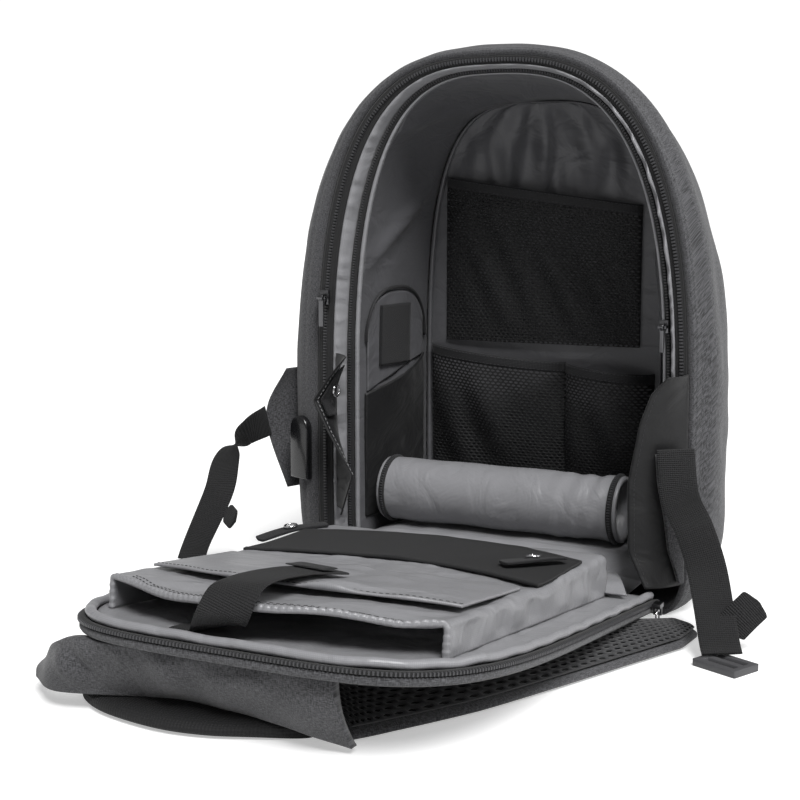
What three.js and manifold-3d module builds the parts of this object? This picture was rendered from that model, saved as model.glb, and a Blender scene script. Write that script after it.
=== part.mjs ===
// A hard-wearing commuter backpack with a hidden back opening, shown open: the padded shell stands on its
// base with the opening towards -Y, and the back panel with its laptop sleeve is folded down on the floor.
// Millimetres, +Z up, +X to the right of the opening, origin at the middle of the shell's flat base, in line
// with the opening. Cloth pieces are thin closed walls worked out from the sizes below.
import * as THREE from "three";
import { mergeVertices } from "three/addons/utils/BufferGeometryUtils.js";
import Module from "manifold-3d";

// Clearances
const GAP = 0.4; // between pieces that are sewn or zipped together
const CLOTH = 1.6; // lining and pocket cloth with its backing

// Shell
const SHELL_HALF_WIDTH = 186;
const SHELL_HEIGHT = 436;
const SHELL_DEPTH = 152;
const SHELL_WALL = 5; // foam between two cloths
const WIDEST_HEIGHT = 140; // height at which the shell is widest
const FOOT_REACH = 148; // how far the lower corners' curve reaches before it is cut level at the base
const RING_STEPS = 48; // stations round a ring, a multiple of four
const STEPS_BELOW = 5; // stations of a trim below the widest height, on each side

// Opening: the seam where the shell's cloth meets the zip
const SEAM_LEFT = 157;
const SEAM_RIGHT = 167;
const SEAM_TOP = 428;
const SEAM_ROUNDNESS = 2.8;
const SEAM_FOOT_ROUNDNESS = 9;
const TOP_NARROWING = 0.777; // an inset over the top is the left side's inset to this power
const RIGHT_NARROWING = 0.65; // an inset on the right is this share of the left side's

// Trims round the opening, one after another from the shell's wall inwards
const MAIN_TAPE_WIDTH = 14;
const TEETH_SHARE = [0.35, 0.58]; // where the row of teeth stands on its tape
const TEETH_HEIGHT = 1.4;
const TAPE_THICKNESS = 1.6;
const TRIM_BAND_WIDTH = 8;
const TRIM_BAND_DEPTH = 9;
const INNER_TAPE_WIDTH = 6;
const LINING_PIPE_RADIUS = 2;

// Lining
const LINING_FRONT_DEPTH = 118; // depth at which the front wall of the lining hangs
const LINING_LEAN = { left: 15, right: 31, top: 14 }; // how far the side wall leans in at the front
const LINING_ROUNDNESS = 3.4; // of the front wall's outline, which is squarer than the seam
const LINING_FOLD = 4; // depth of the drape folds in the front wall
const LINING_FOOT = 30;

// Padded floor inside the shell
const FLOOR_PAD_TOP = 41;
const FLOOR_PAD_FRONT = -6;
const FLOOR_PAD_SLOPE = 22;
const FLOOR_PAD_FOOT = 9.5;
const FLOOR_PAD_TUCK = 0.88; // the pad is this much narrower at its foot

// Mesh pockets on the front wall
const NET = 1.2; // thickness of a mesh pocket's net
const NET_BINDING_HEIGHT = 9;
const NET_BINDING_THICKNESS = 2.6;
const POCKET_SIDE_MARGIN = 7.4; // clear of the corner piping
const POCKETS = [
  { name: "upper", foot: 192, left: 330, right: 306, belly: 14, cells: [0, 1] },
  { name: "lower", foot: 52, left: 184, right: 166, belly: 27, cells: [0, 0.62, 1] },
];

// Pocket and hook-and-loop patch on the left wall of the lining
const SIDE_PATCH = { front: 22, back: 110, top: 240, shoulder: 196 };
const SIDE_MOUTH = { front: 152, back: 180 };
const SIDE_LOOP = { front: 40, back: 84, foot: 174, top: 226 };
const SIDE_BELLY = 9;
const SIDE_BINDING = 3;

// Rolled divider
const ROLL_RADIUS = 27;
const ROLL_WALL = 5;
const ROLL_LEFT = -106;
const ROLL_RIGHT = 104;
const ROLL_DEPTH = 44;
const ROLL_RING_RISE = 1;
const ROLL_RING_WIDTH = 5;

// Back panel
const PANEL_LENGTH = 372;
const PANEL_HALF_WIDTH = 150;
const PANEL_ROUNDNESS = 4.2;
const PANEL_STRAIGHT = 130; // length of the panel's straight sides
const PANEL_HINGE_Y = -14;
const PANEL_HINGE_Z = 15.5;
const PANEL_RISE = 7.2; // degrees: the far end lies on the shoulder harness
const BOARD_THICKNESS = 6;
const BACK_PAD_THICKNESS = 9;
const BACK_PAD_INSET = 24;
const BACK_PAD_START = 132;
const PANEL_PIPE_RADIUS = 3;
const PANEL_TAPE_WIDTH = 3;
const PANEL_CLOTH_INSET = 9;

// Laptop sleeve on the panel
const SLEEVE_HALF_WIDTH = 118;
const SLEEVE_START = 34;
const SLEEVE_END = 318; // at the sides, the mouth's middle reaches further
const SLEEVE_MOUTH_BOW = 36;
const SLEEVE_HEIGHT = 22; // at the mouth
const SLEEVE_CROWN = 1.4; // at the hinge it is this many times as high
const SLEEVE_WALL = 3.4;
const SLEEVE_CORNER = 5;
const TABLET_START = 190;
const TABLET_END = 284;
const TABLET_BOW = 22;
const TABLET_RISE = 4;
const BAND_START = 45;
const BAND_WIDTH = 90;
const BAND_BOW = 34;
const BAND_THICKNESS = 1.6;
const SLEEVE_STRAP_WIDTH = 30;
const SLEEVE_STRAP_THICKNESS = 1.8;
const LABEL_LENGTH = 15;

// Hook-and-loop tabs and ring snaps
const TAB_WIDTH = 15;
const TAB_THICKNESS = 2.2;
const SNAP_RADIUS = 5;
const SNAP_WIRE = 1;

// Shoulder harness
const STRAP_WIDTH = 62;
const STRAP_FOAM = 7.5;
const STRAP_NET = 2.4;
const YOKE_THICKNESS = 6;
const YOKE_PAD_HEIGHT = 11;
const WEBBING_WIDTH = 28;
const WEBBING_THICKNESS = 1.8;
const WING_THICKNESS = 4;
const BUCKLE = { width: 36, length: 26, thickness: 5, bar: 5 };

// Charging-port hood
const HOOD = { width: 22, height: 54, thickness: 7, at: 106 };

// Zip sliders and pulls
const SLIDER = { width: 8, length: 12, thickness: 3.4, bar: 1.1, bail: 3.4 };
const PULL = { width: 6, length: 24, thickness: 1.8, play: 0.45 };

const DEGREE = Math.PI / 180;

const wasm = await Module();
wasm.setup();

// Materials
function cloth(color, roughness = 0.9) {
  return new THREE.MeshStandardMaterial({ color, roughness, metalness: 0 });
}
const heather = cloth(0x55565a);
const lining = cloth(0x8b8b8d, 0.55);
const darkLining = cloth(0x5c5c5f, 0.6);
const blackCloth = cloth(0x222224);
const netCloth = cloth(0x2b2b2d);
const webbing = cloth(0x303032);
const hookLoop = cloth(0x1d1d1f);
const plastic = new THREE.MeshStandardMaterial({ color: 0x18181a, roughness: 0.3, metalness: 0 });
const greyPlastic = new THREE.MeshStandardMaterial({ color: 0x55565a, roughness: 0.5, metalness: 0 });
const metal = new THREE.MeshStandardMaterial({ color: 0xb9b9bb, roughness: 0.3, metalness: 1 });
const darkMetal = new THREE.MeshStandardMaterial({ color: 0x4a4a4c, roughness: 0.35, metalness: 1 });

const backpack = new THREE.Group();

function add(name, geometry, material, parent = backpack) {
  const mesh = new THREE.Mesh(geometry, material);
  mesh.name = name;
  parent.add(mesh);
  return mesh;
}

const mix = (a, b, t) => a + (b - a) * t;
const clamp = (v, low, high) => Math.min(high, Math.max(low, v));
const smooth = (t) => t * t * (3 - 2 * t);
const point = (x, y, z) => new THREE.Vector3(x, y, z);

// A closed body from a list of points and triangles, turned so that its faces point out.
function body(points, triangles) {
  let volume = 0;
  for (const [a, b, c] of triangles) {
    volume += points[a].dot(new THREE.Vector3().crossVectors(points[b], points[c])) / 6;
  }
  const index = triangles.flatMap(([a, b, c]) => (volume < 0 ? [a, c, b] : [a, b, c]));
  const geometry = new THREE.BufferGeometry();
  const values = points.flatMap((p) => [p.x, p.y, p.z]);
  geometry.setAttribute("position", new THREE.Float32BufferAttribute(values, 3));
  geometry.setIndex(index);
  geometry.computeVertexNormals();
  return geometry;
}

// A body carried along stations: every station is the same closed ring of points, and the ends are capped.
function loft(rings, closed = false) {
  const count = rings[0].length;
  const points = rings.flat();
  const triangles = [];
  const last = closed ? rings.length : rings.length - 1;
  for (let i = 0; i < last; i += 1) {
    const next = (i + 1) % rings.length;
    for (let j = 0; j < count; j += 1) {
      const k = (j + 1) % count;
      triangles.push([i * count + j, next * count + j, next * count + k]);
      triangles.push([i * count + j, next * count + k, i * count + k]);
    }
  }
  if (!closed) {
    const caps = capTriangles(rings[0]);
    const end = (rings.length - 1) * count;
    for (const [a, b, c] of caps) {
      triangles.push([a, b, c]);
      triangles.push([end + a, end + c, end + b]);
    }
  }
  return body(points, triangles);
}

// The triangles that fill one ring, found in the plane that the ring lies flattest in.
function capTriangles(ring) {
  const normal = new THREE.Vector3();
  ring.forEach((p, i) => {
    const q = ring[(i + 1) % ring.length];
    normal.add(new THREE.Vector3().crossVectors(p, q));
  });
  normal.normalize();
  const across = new THREE.Vector3().subVectors(ring[1], ring[0]).normalize();
  const along = new THREE.Vector3().crossVectors(normal, across);
  const flat = ring.map((p) => new THREE.Vector2(p.dot(across), p.dot(along)));
  // Turned to match the side faces between the stations.
  return THREE.ShapeUtils.triangulateShape(flat, []).map(([a, b, c]) => [b, c, a]);
}

// A sheet with two faces, each a grid of points with the same rows and columns, joined round the border.
function sheet(face, backing) {
  const rows = face.length;
  const columns = face[0].length;
  const points = [...face.flat(), ...backing.flat()];
  const at = (side, i, j) => side * rows * columns + i * columns + j;
  const triangles = [];
  for (let i = 0; i < rows - 1; i += 1) {
    for (let j = 0; j < columns - 1; j += 1) {
      const corners = [[i, j], [i + 1, j], [i + 1, j + 1], [i, j + 1]];
      const [a, b, c, d] = corners.map(([r, s]) => at(0, r, s));
      const [e, f, g, h] = corners.map(([r, s]) => at(1, r, s));
      triangles.push([a, b, c], [a, c, d], [e, g, f], [e, h, g]);
    }
  }
  const wall = (i, j, k, l) => {
    triangles.push([at(0, k, l), at(0, i, j), at(1, i, j)], [at(0, k, l), at(1, i, j), at(1, k, l)]);
  };
  for (let j = 0; j < columns - 1; j += 1) {
    wall(0, j + 1, 0, j);
    wall(rows - 1, j, rows - 1, j + 1);
  }
  for (let i = 0; i < rows - 1; i += 1) {
    wall(i, 0, i + 1, 0);
    wall(i + 1, columns - 1, i, columns - 1);
  }
  return body(points, triangles);
}

// A sheet from a function of two shares from 0 to 1 and a side, 0 for the face and 1 for the backing.
function sheetOf(rows, columns, place) {
  const grid = (side) =>
    Array.from({ length: rows + 1 }, (_, i) =>
      Array.from({ length: columns + 1 }, (__, j) => place(i / rows, j / columns, side)));
  return sheet(grid(0), grid(1));
}

// A flat strap of one width along a path: each station says where its middle is and which way it is wide.
function strap(stations, width, thickness) {
  const curve = new THREE.CatmullRomCurve3(stations.map((s) => point(...s.at)));
  const wide = new THREE.CatmullRomCurve3(stations.map((s) => point(...s.wide)));
  const steps = (stations.length - 1) * 3;
  const rings = [];
  for (let i = 0; i <= steps; i += 1) {
    const t = i / steps;
    const middle = curve.getPoint(t);
    const tangent = curve.getTangent(t);
    const across = wide.getPoint(t);
    across.addScaledVector(tangent, -across.dot(tangent)).normalize();
    const up = new THREE.Vector3().crossVectors(tangent, across);
    const corner = (a, b) =>
      middle.clone().addScaledVector(across, (a * width) / 2).addScaledVector(up, (b * thickness) / 2);
    rings.push([corner(-1, -1), corner(1, -1), corner(1, 1), corner(-1, 1)]);
  }
  return loft(rings);
}

// A solid for cutting and joining, and the geometry that comes back from one.
function toSolid(geometry) {
  const bare = geometry.clone();
  bare.deleteAttribute("normal");
  bare.deleteAttribute("uv");
  const merged = mergeVertices(bare, 1e-4);
  return new wasm.Manifold(new wasm.Mesh({
    numProp: 3,
    vertProperties: merged.attributes.position.array,
    triVerts: new Uint32Array(merged.index.array),
  }));
}

function toGeometry(solid) {
  const made = solid.getMesh();
  const geometry = new THREE.BufferGeometry();
  geometry.setAttribute("position", new THREE.BufferAttribute(made.vertProperties, 3));
  geometry.setIndex(new THREE.BufferAttribute(made.triVerts, 1));
  geometry.computeVertexNormals();
  return geometry;
}

// A point on a superellipse of half width 1 and height 1, at an even spacing of its angle.
function superellipse(angle, power) {
  const c = Math.cos(angle);
  const s = Math.sin(angle);
  const reach = (Math.abs(c) ** power + Math.abs(s) ** power) ** (-1 / power);
  return [c * reach, s * reach];
}

// A column of a table at a share of the table's length, read between its rows.
function between(rows, share, column) {
  const place = clamp(share, 0, 1) * (rows.length - 1);
  const row = Math.min(Math.floor(place), rows.length - 2);
  return mix(rows[row][column], rows[row + 1][column], place - row);
}

// Shell
// Rings from the seam to the front: depth as a share of the shell's depth, insets at the side and the top
// and the foot's rise as
// shares of its half width and height, and the powers of its dome's and its lower corners' superellipses. The
// wall's inner face follows the rows marked inner.
const SHELL_RINGS = [
  { depth: 0.035, side: 0.075, top: 0.011, foot: 0.0, dome: 2.7, corner: 8, inner: true },
  { depth: 0.12, side: 0.016, top: 0.002, foot: 0.0, dome: 2.55, corner: 6.5 },
  { depth: 0.24, side: 0.0, top: 0.0, foot: 0.0, dome: 2.4, corner: 5, inner: true },
  { depth: 0.5, side: 0.05, top: 0.022, foot: 0.0, dome: 2.4, corner: 4.5 },
  { depth: 0.74, side: 0.13, top: 0.046, foot: 0.0, dome: 2.4, corner: 4, inner: true },
  { depth: 0.88, side: 0.25, top: 0.084, foot: 0.01, dome: 2.4, corner: 4, inner: true },
  { depth: 0.965, side: 0.42, top: 0.17, foot: 0.05, dome: 2.4, corner: 3.4 },
  { depth: 1.0, side: 0.62, top: 0.32, foot: 0.13, dome: 2.4, corner: 3, inner: true },
];

// The angle of a station round a ring, counted from the right-hand end of the widest line.
const stationAngle = (i) => (i / RING_STEPS) * 2 * Math.PI;

// A place on the opening's edge: an angle round it, an inset from the seam, a depth, and the share by which
// it leans in with the lining's walls.
function onRim(angle, inset, depth, lean = 0) {
  const dome = mix(SEAM_ROUNDNESS, LINING_ROUNDNESS, lean);
  const [c, s] = superellipse(angle, Math.sin(angle) > 0 ? dome : SEAM_FOOT_ROUNDNESS);
  const left = SEAM_LEFT - inset - lean * LINING_LEAN.left;
  const right = SEAM_RIGHT - inset * RIGHT_NARROWING - lean * LINING_LEAN.right;
  const top = SEAM_TOP - Math.max(inset, 0) ** TOP_NARROWING - lean * LINING_LEAN.top;
  const reach = s > 0 ? top - WIDEST_HEIGHT : FOOT_REACH;
  return point(c * (c > 0 ? right : left), depth, WIDEST_HEIGHT + s * reach);
}

function seamRing(wall) {
  return Array.from({ length: RING_STEPS }, (_, i) => {
    const place = onRim(stationAngle(i), wall, 0);
    place.z = Math.max(place.z, wall);
    return place;
  });
}

// One ring of the shell: a superellipse dome over flatter lower corners, cut level at the foot.
function shellRing(row, wall) {
  const halfWidth = SHELL_HALF_WIDTH * (1 - row.side) - wall;
  const top = SHELL_HEIGHT * (1 - row.top) - wall;
  const foot = SHELL_HEIGHT * row.foot + wall;
  return Array.from({ length: RING_STEPS }, (_, i) => {
    const angle = stationAngle(i);
    const [c, s] = superellipse(angle, Math.sin(angle) > 0 ? row.dome : row.corner);
    const reach = s > 0 ? top - WIDEST_HEIGHT : FOOT_REACH - foot;
    const z = Math.max(WIDEST_HEIGHT + s * reach, foot);
    return point(c * halfWidth, SHELL_DEPTH * row.depth - wall * row.depth ** 2, z);
  });
}

function shellOuter() {
  const outside = SHELL_RINGS.map((row) => shellRing(row, 0));
  const inside = SHELL_RINGS.filter((row) => row.inner).map((row) => shellRing(row, SHELL_WALL));
  const rings = [...outside.slice().reverse(), seamRing(0), seamRing(SHELL_WALL), ...inside];
  const points = rings.flat();
  const triangles = [];
  for (let i = 0; i < rings.length - 1; i += 1) {
    for (let j = 0; j < RING_STEPS; j += 1) {
      const k = (j + 1) % RING_STEPS;
      const [a, b] = [i * RING_STEPS, (i + 1) * RING_STEPS];
      triangles.push([a + j, b + j, b + k], [a + j, b + k, a + k]);
    }
  }
  const middle = (ring) => ring.reduce((sum, p) => sum.add(p), point(0, 0, 0)).divideScalar(ring.length);
  const crown = points.push(middle(rings[0])) - 1;
  const hollow = points.push(middle(rings.at(-1))) - 1;
  const end = (rings.length - 1) * RING_STEPS;
  for (let j = 0; j < RING_STEPS; j += 1) {
    const k = (j + 1) % RING_STEPS;
    triangles.push([crown, j, k], [hollow, end + k, end + j]);
  }
  return body(points, triangles);
}
add("shell_outer", shellOuter(), heather);

// Angles of the stations of a trim: up the left side, over the dome and down the right side.
const trimAngles = [];
for (let i = RING_STEPS / 2 + STEPS_BELOW; i >= -STEPS_BELOW; i -= 1) trimAngles.push(stationAngle(i));

// A trim that runs round the opening, from its section as rows of inset, depth and lean.
function rimBand(section) {
  return loft(trimAngles.map((angle) => section.map((row) => onRim(angle, ...row))));
}

const mainTapeOut = SHELL_WALL + GAP;
const mainTapeIn = mainTapeOut + MAIN_TAPE_WIDTH;
const trimBandOut = mainTapeIn + GAP;
const trimBandIn = trimBandOut + TRIM_BAND_WIDTH;
const innerTapeOut = trimBandIn + GAP;
const innerTapeIn = innerTapeOut + INNER_TAPE_WIDTH;
const innerTapeDepth = TRIM_BAND_DEPTH + TAPE_THICKNESS + GAP;
const liningInset = innerTapeIn + GAP;
const pipeInset = liningInset + LINING_PIPE_RADIUS;
const liningStart = innerTapeDepth + 2 * LINING_PIPE_RADIUS;

// The shell's half of the main zip: its tape with the row of teeth standing on it.
const teethOut = mix(mainTapeOut, mainTapeIn, TEETH_SHARE[0]);
const teethIn = mix(mainTapeOut, mainTapeIn, TEETH_SHARE[1]);
add("main_zip_tape", rimBand([
  [mainTapeOut, 0],
  [teethOut, -TEETH_HEIGHT],
  [teethIn, -TEETH_HEIGHT],
  [mainTapeIn, 0],
  [mainTapeIn, TAPE_THICKNESS],
  [mainTapeOut, TAPE_THICKNESS],
]), blackCloth);

// The puckered lining band between the two zips slopes into the bag.
add("trim_band", rimBand([
  [trimBandOut, 0],
  [mix(trimBandOut, trimBandIn, 0.45), TRIM_BAND_DEPTH * 0.1],
  [trimBandIn, TRIM_BAND_DEPTH],
  [trimBandIn, TRIM_BAND_DEPTH + CLOTH],
  [mix(trimBandOut, trimBandIn, 0.4), TRIM_BAND_DEPTH * 0.1 + CLOTH],
  [trimBandOut, CLOTH],
]), lining);

add("inner_zip_tape", rimBand([
  [innerTapeOut, TRIM_BAND_DEPTH],
  [mix(innerTapeOut, innerTapeIn, 0.4), TRIM_BAND_DEPTH - TEETH_HEIGHT],
  [innerTapeIn, TRIM_BAND_DEPTH],
  [innerTapeIn, innerTapeDepth],
  [innerTapeOut, innerTapeDepth],
]), blackCloth);

// A round section for piping, as pairs of inset and depth.
function roundSection(inset, depth, radius, sides) {
  return Array.from({ length: sides }, (_, i) => {
    const angle = (i / sides) * 2 * Math.PI;
    return [inset + radius * Math.cos(angle), depth + radius * Math.sin(angle)];
  });
}
add("lining_edge_piping", rimBand(roundSection(pipeInset, innerTapeDepth, LINING_PIPE_RADIUS, 5)), lining);

// The lean of the lining's walls at a depth.
const leanAt = (depth) => clamp((depth - liningStart) / (LINING_FRONT_DEPTH - liningStart), 0, 1);
add("lining_side_wall", rimBand([
  [liningInset + CLOTH, liningStart + GAP, 0],
  [liningInset + CLOTH, LINING_FRONT_DEPTH, 1],
  [liningInset, LINING_FRONT_DEPTH, 1],
  [liningInset, liningStart + GAP, 0],
]), darkLining);

// Where the lining's inner face stands at a height and a depth: x on the left or on the right.
function liningX(side, height, depth) {
  const lean = leanAt(depth);
  const inset = liningInset + CLOTH;
  const top = SEAM_TOP - inset ** TOP_NARROWING - lean * LINING_LEAN.top;
  const left = SEAM_LEFT - inset - lean * LINING_LEAN.left;
  const right = SEAM_RIGHT - inset * RIGHT_NARROWING - lean * LINING_LEAN.right;
  const share = clamp((height - WIDEST_HEIGHT) / (top - WIDEST_HEIGHT), 0, 1);
  const dome = mix(SEAM_ROUNDNESS, LINING_ROUNDNESS, lean);
  return (side < 0 ? -left : right) * (1 - share ** dome) ** (1 / dome);
}
const liningTop = SEAM_TOP - (liningInset + CLOTH) ** TOP_NARROWING - LINING_LEAN.top;

// The front wall of the lining, with soft vertical drape folds above the pockets.
const foldFoot = POCKETS[0].right;
const foldTop = liningTop - 2;
add("lining_front_wall", sheetOf(9, 12, (v, u, side) => {
  const z = mix(LINING_FOOT, foldTop, 1 - (1 - v) ** 1.6);
  const x = mix(liningX(-1, z, LINING_FRONT_DEPTH), liningX(1, z, LINING_FRONT_DEPTH), u);
  const hang = Math.sin(Math.PI * clamp((z - foldFoot) / (foldTop - foldFoot), 0, 1));
  const wave = 0.5 + 0.5 * Math.cos((2 * u - 1) * 4.5 * Math.PI);
  const fold = LINING_FOLD * hang * wave * (1 - (2 * u - 1) ** 4);
  return point(x, LINING_FRONT_DEPTH + GAP + fold + side * CLOTH, z);
}), darkLining);

// Piping in the corner where the side wall meets the front wall.
const cornerDepth = LINING_FRONT_DEPTH - LINING_PIPE_RADIUS;
const cornerInset = liningInset + CLOTH + GAP + LINING_PIPE_RADIUS * 1.6;
add("corner_piping", rimBand(
  roundSection(cornerInset, cornerDepth, LINING_PIPE_RADIUS, 5).map((row) => [...row, 1]),
), darkLining);

// Padded floor inside the shell, sloping down to the hinge at the opening.
const padMargin = 4 * LINING_PIPE_RADIUS + GAP;
add("floor_pad", sheetOf(7, 6, (v, u, side) => {
  const y = mix(FLOOR_PAD_FRONT, LINING_FRONT_DEPTH - GAP, v);
  const tuck = side ? FLOOR_PAD_TUCK : 1;
  const x = tuck * mix(liningX(-1, 0, y) + padMargin, liningX(1, 0, y) - padMargin, u);
  const slope = smooth(clamp((y - FLOOR_PAD_FRONT) / FLOOR_PAD_SLOPE, 0, 1));
  const crown = 1 - 0.12 * Math.abs(2 * u - 1) ** 6;
  const top = mix(FLOOR_PAD_TOP * 0.72, FLOOR_PAD_TOP, slope) * crown;
  return point(x, y, side ? FLOOR_PAD_FOOT : top);
}), lining);

// Mesh pockets: a net that bellies off the front wall, sewn down at its foot, its sides and any divider.
const pocketLeft = (z) => liningX(-1, z, LINING_FRONT_DEPTH) + POCKET_SIDE_MARGIN;
const pocketRight = (z) => liningX(1, z, LINING_FRONT_DEPTH) - POCKET_SIDE_MARGIN;
const pocketFoot = LINING_FRONT_DEPTH - (NET_BINDING_THICKNESS - NET) / 2;

function pocketDepth(pocket, u, rise) {
  const cell = pocket.cells.findIndex((edge, i) => i > 0 && u <= edge + 1e-6);
  const [a, b] = [pocket.cells[cell - 1], pocket.cells[cell]];
  const across = Math.abs(Math.sin((Math.PI * (u - a)) / (b - a))) ** 0.5;
  return pocketFoot - pocket.belly * (0.25 + 0.75 * smooth(rise)) * across;
}

// Shares across a pocket, with one on each sewn line.
function pocketShares(pocket, steps) {
  const perCell = steps / (pocket.cells.length - 1);
  const shares = [0];
  for (let i = 1; i < pocket.cells.length; i += 1) {
    for (let j = 1; j <= perCell; j += 1) shares.push(mix(pocket.cells[i - 1], pocket.cells[i], j / perCell));
  }
  return shares;
}

for (const pocket of POCKETS) {
  const shares = pocketShares(pocket, 12);
  const mouthLeft = pocketLeft(pocket.left);
  const mouthRight = pocketRight(pocket.left);
  const topAt = (u) => mix(pocket.left, pocket.right, u);
  const netGrid = (side) =>
    Array.from({ length: 6 }, (_, i) =>
      shares.map((u) => {
        const z = mix(pocket.foot, topAt(u) - NET_BINDING_HEIGHT / 2 - GAP, i / 5);
        const x = mix(mouthLeft, mouthRight, u);
        return point(x, pocketDepth(pocket, u, i / 5) - side * NET, z);
      }));
  add(`${pocket.name}_mesh_pocket`, sheet(netGrid(0), netGrid(1)), netCloth);
  add(`${pocket.name}_pocket_binding`, loft(shares.map((u) => {
    const [x, y, z] = [mix(mouthLeft, mouthRight, u), pocketDepth(pocket, u, 1) - NET / 2, topAt(u)];
    const h = NET_BINDING_HEIGHT / 2;
    const t = NET_BINDING_THICKNESS / 2;
    return [point(x, y - t, z - h), point(x, y + t, z - h), point(x, y + t, z + h), point(x, y - t, z + h)];
  })), blackCloth);
}

// The left wall's patch, its bound edge, its loop strip and the pocket below it.
const onLeftWall = (depth, height, off) => point(liningX(-1, height, depth) + off, depth, height);
const patchShare = (depth) => (depth - SIDE_PATCH.front) / (SIDE_PATCH.back - SIDE_PATCH.front);
function archHeight(depth) {
  const curve = (1 - Math.abs(2 * patchShare(depth) - 1) ** 2.6) ** (1 / 2.2);
  return mix(SIDE_PATCH.shoulder, SIDE_PATCH.top, curve);
}
const mouthHeight = (depth) => mix(SIDE_MOUTH.front, SIDE_MOUTH.back, patchShare(depth));

add("side_patch", sheetOf(4, 10, (v, u, side) => {
  const depth = mix(SIDE_PATCH.front + SIDE_BINDING, SIDE_PATCH.back - SIDE_BINDING, u);
  const height = mix(mouthHeight(depth) + GAP, archHeight(depth) - SIDE_BINDING, v);
  return onLeftWall(depth, height, GAP + side * CLOTH);
}), lining);

add("side_patch_binding", loft(Array.from({ length: 15 }, (_, i) => {
  const depth = mix(SIDE_PATCH.front, SIDE_PATCH.back, (1 - Math.cos((Math.PI * i) / 14)) / 2);
  const height = archHeight(depth) + GAP;
  const half = SIDE_BINDING / 2;
  return [[-half, -half], [half, -half], [half, half], [-half, half]].map(([off, up]) =>
    onLeftWall(depth, height + up, GAP + half + off));
})), blackCloth);

add("side_patch_loop", sheetOf(4, 4, (v, u, side) => onLeftWall(
  mix(SIDE_LOOP.front, SIDE_LOOP.back, u),
  mix(SIDE_LOOP.foot, SIDE_LOOP.top, v),
  2 * GAP + CLOTH + side * CLOTH,
)), hookLoop);

const rollHeight = FLOOR_PAD_TOP + GAP + ROLL_RADIUS + ROLL_RING_RISE / 2;
add("side_pocket", sheetOf(5, 10, (v, u, side) => {
  const depth = mix(SIDE_PATCH.front, SIDE_PATCH.back, u);
  const height = mix(FLOOR_PAD_TOP + 5, mouthHeight(depth), v);
  const belly = SIDE_BELLY * smooth(clamp(2 * v - 1, 0, 1)) * Math.sin(Math.PI * u);
  return onLeftWall(depth, height, 2 * GAP + belly + side * CLOTH);
}), blackCloth);

// Rolled divider lying on the padded floor: a tube of lining with a raised zip ring near each end.
function dividerRoll() {
  const inner = ROLL_RADIUS - ROLL_WALL;
  const raised = ROLL_RADIUS + ROLL_RING_RISE;
  const margin = ROLL_RING_WIDTH / 2;
  const profile = [
    [inner, ROLL_LEFT],
    [ROLL_RADIUS, ROLL_LEFT],
    [ROLL_RADIUS, ROLL_LEFT + margin],
    [raised, ROLL_LEFT + margin],
    [raised, ROLL_LEFT + margin + ROLL_RING_WIDTH],
    [ROLL_RADIUS, ROLL_LEFT + margin + ROLL_RING_WIDTH],
    [ROLL_RADIUS, ROLL_RIGHT - margin - ROLL_RING_WIDTH],
    [raised, ROLL_RIGHT - margin - ROLL_RING_WIDTH],
    [raised, ROLL_RIGHT - margin],
    [ROLL_RADIUS, ROLL_RIGHT - margin],
    [ROLL_RADIUS, ROLL_RIGHT],
    [inner, ROLL_RIGHT],
    [inner, ROLL_LEFT],
  ];
  const geometry = new THREE.LatheGeometry(profile.map(([r, x]) => new THREE.Vector2(r, x)), 20);
  return geometry.rotateZ(-Math.PI / 2).translate(0, ROLL_DEPTH, rollHeight);
}
add("divider_roll", dividerRoll(), lining);

// Back panel. A place on it: across, along from the hinge, and height above its zip's edge.
const panelDirection = point(0, -Math.cos(PANEL_RISE * DEGREE), Math.sin(PANEL_RISE * DEGREE));
const panelNormal = point(0, Math.sin(PANEL_RISE * DEGREE), Math.cos(PANEL_RISE * DEGREE));
function onPanel(across, along, height) {
  return point(across, PANEL_HINGE_Y, PANEL_HINGE_Z)
    .addScaledVector(panelDirection, along)
    .addScaledVector(panelNormal, height);
}
const panelPlace = (across, along, height) => onPanel(across, along, height).toArray();

// The panel's outline from its left end at the hinge round to the right: functions of an inset.
function panelOutline(start) {
  const stations = [];
  const side = (sign, share) => (inset) =>
    [sign * (PANEL_HALF_WIDTH - inset), mix(start, PANEL_STRAIGHT, share)];
  for (let i = 0; i < 3; i += 1) stations.push(side(-1, i / 3));
  for (let i = RING_STEPS / 2; i >= 0; i -= 1) {
    const [c, s] = superellipse(stationAngle(i), PANEL_ROUNDNESS);
    stations.push((inset) => [
      c * (PANEL_HALF_WIDTH - inset),
      PANEL_STRAIGHT + Math.max(s, 0) * (PANEL_LENGTH - inset - PANEL_STRAIGHT),
    ]);
  }
  for (let i = 2; i >= 0; i -= 1) stations.push(side(1, i / 3));
  return stations;
}

// A trim that runs round the panel's edge, from its section as pairs of inset and height.
function panelBand(section, start) {
  return loft(panelOutline(start).map((at) => section.map(([inset, height]) => onPanel(...at(inset), height))));
}

// A plate with the panel's outline, between two heights.
function panelPlate(start, inset, top, bottom) {
  return loft([top, bottom].map((height) => panelOutline(start).map((at) => onPanel(...at(inset), height))));
}

const boardInset = PANEL_TAPE_WIDTH + 2 * GAP;
const padTop = -BOARD_THICKNESS - GAP;
add("panel_board", panelPlate(0, boardInset, 0, -BOARD_THICKNESS), blackCloth);
add("panel_back_pad", panelPlate(
  Math.min(BACK_PAD_START, PANEL_STRAIGHT - 1),
  BACK_PAD_INSET,
  padTop,
  padTop - BACK_PAD_THICKNESS,
), netCloth);
add("panel_lining", panelPlate(4, PANEL_CLOTH_INSET, GAP + CLOTH, GAP), lining);

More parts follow.
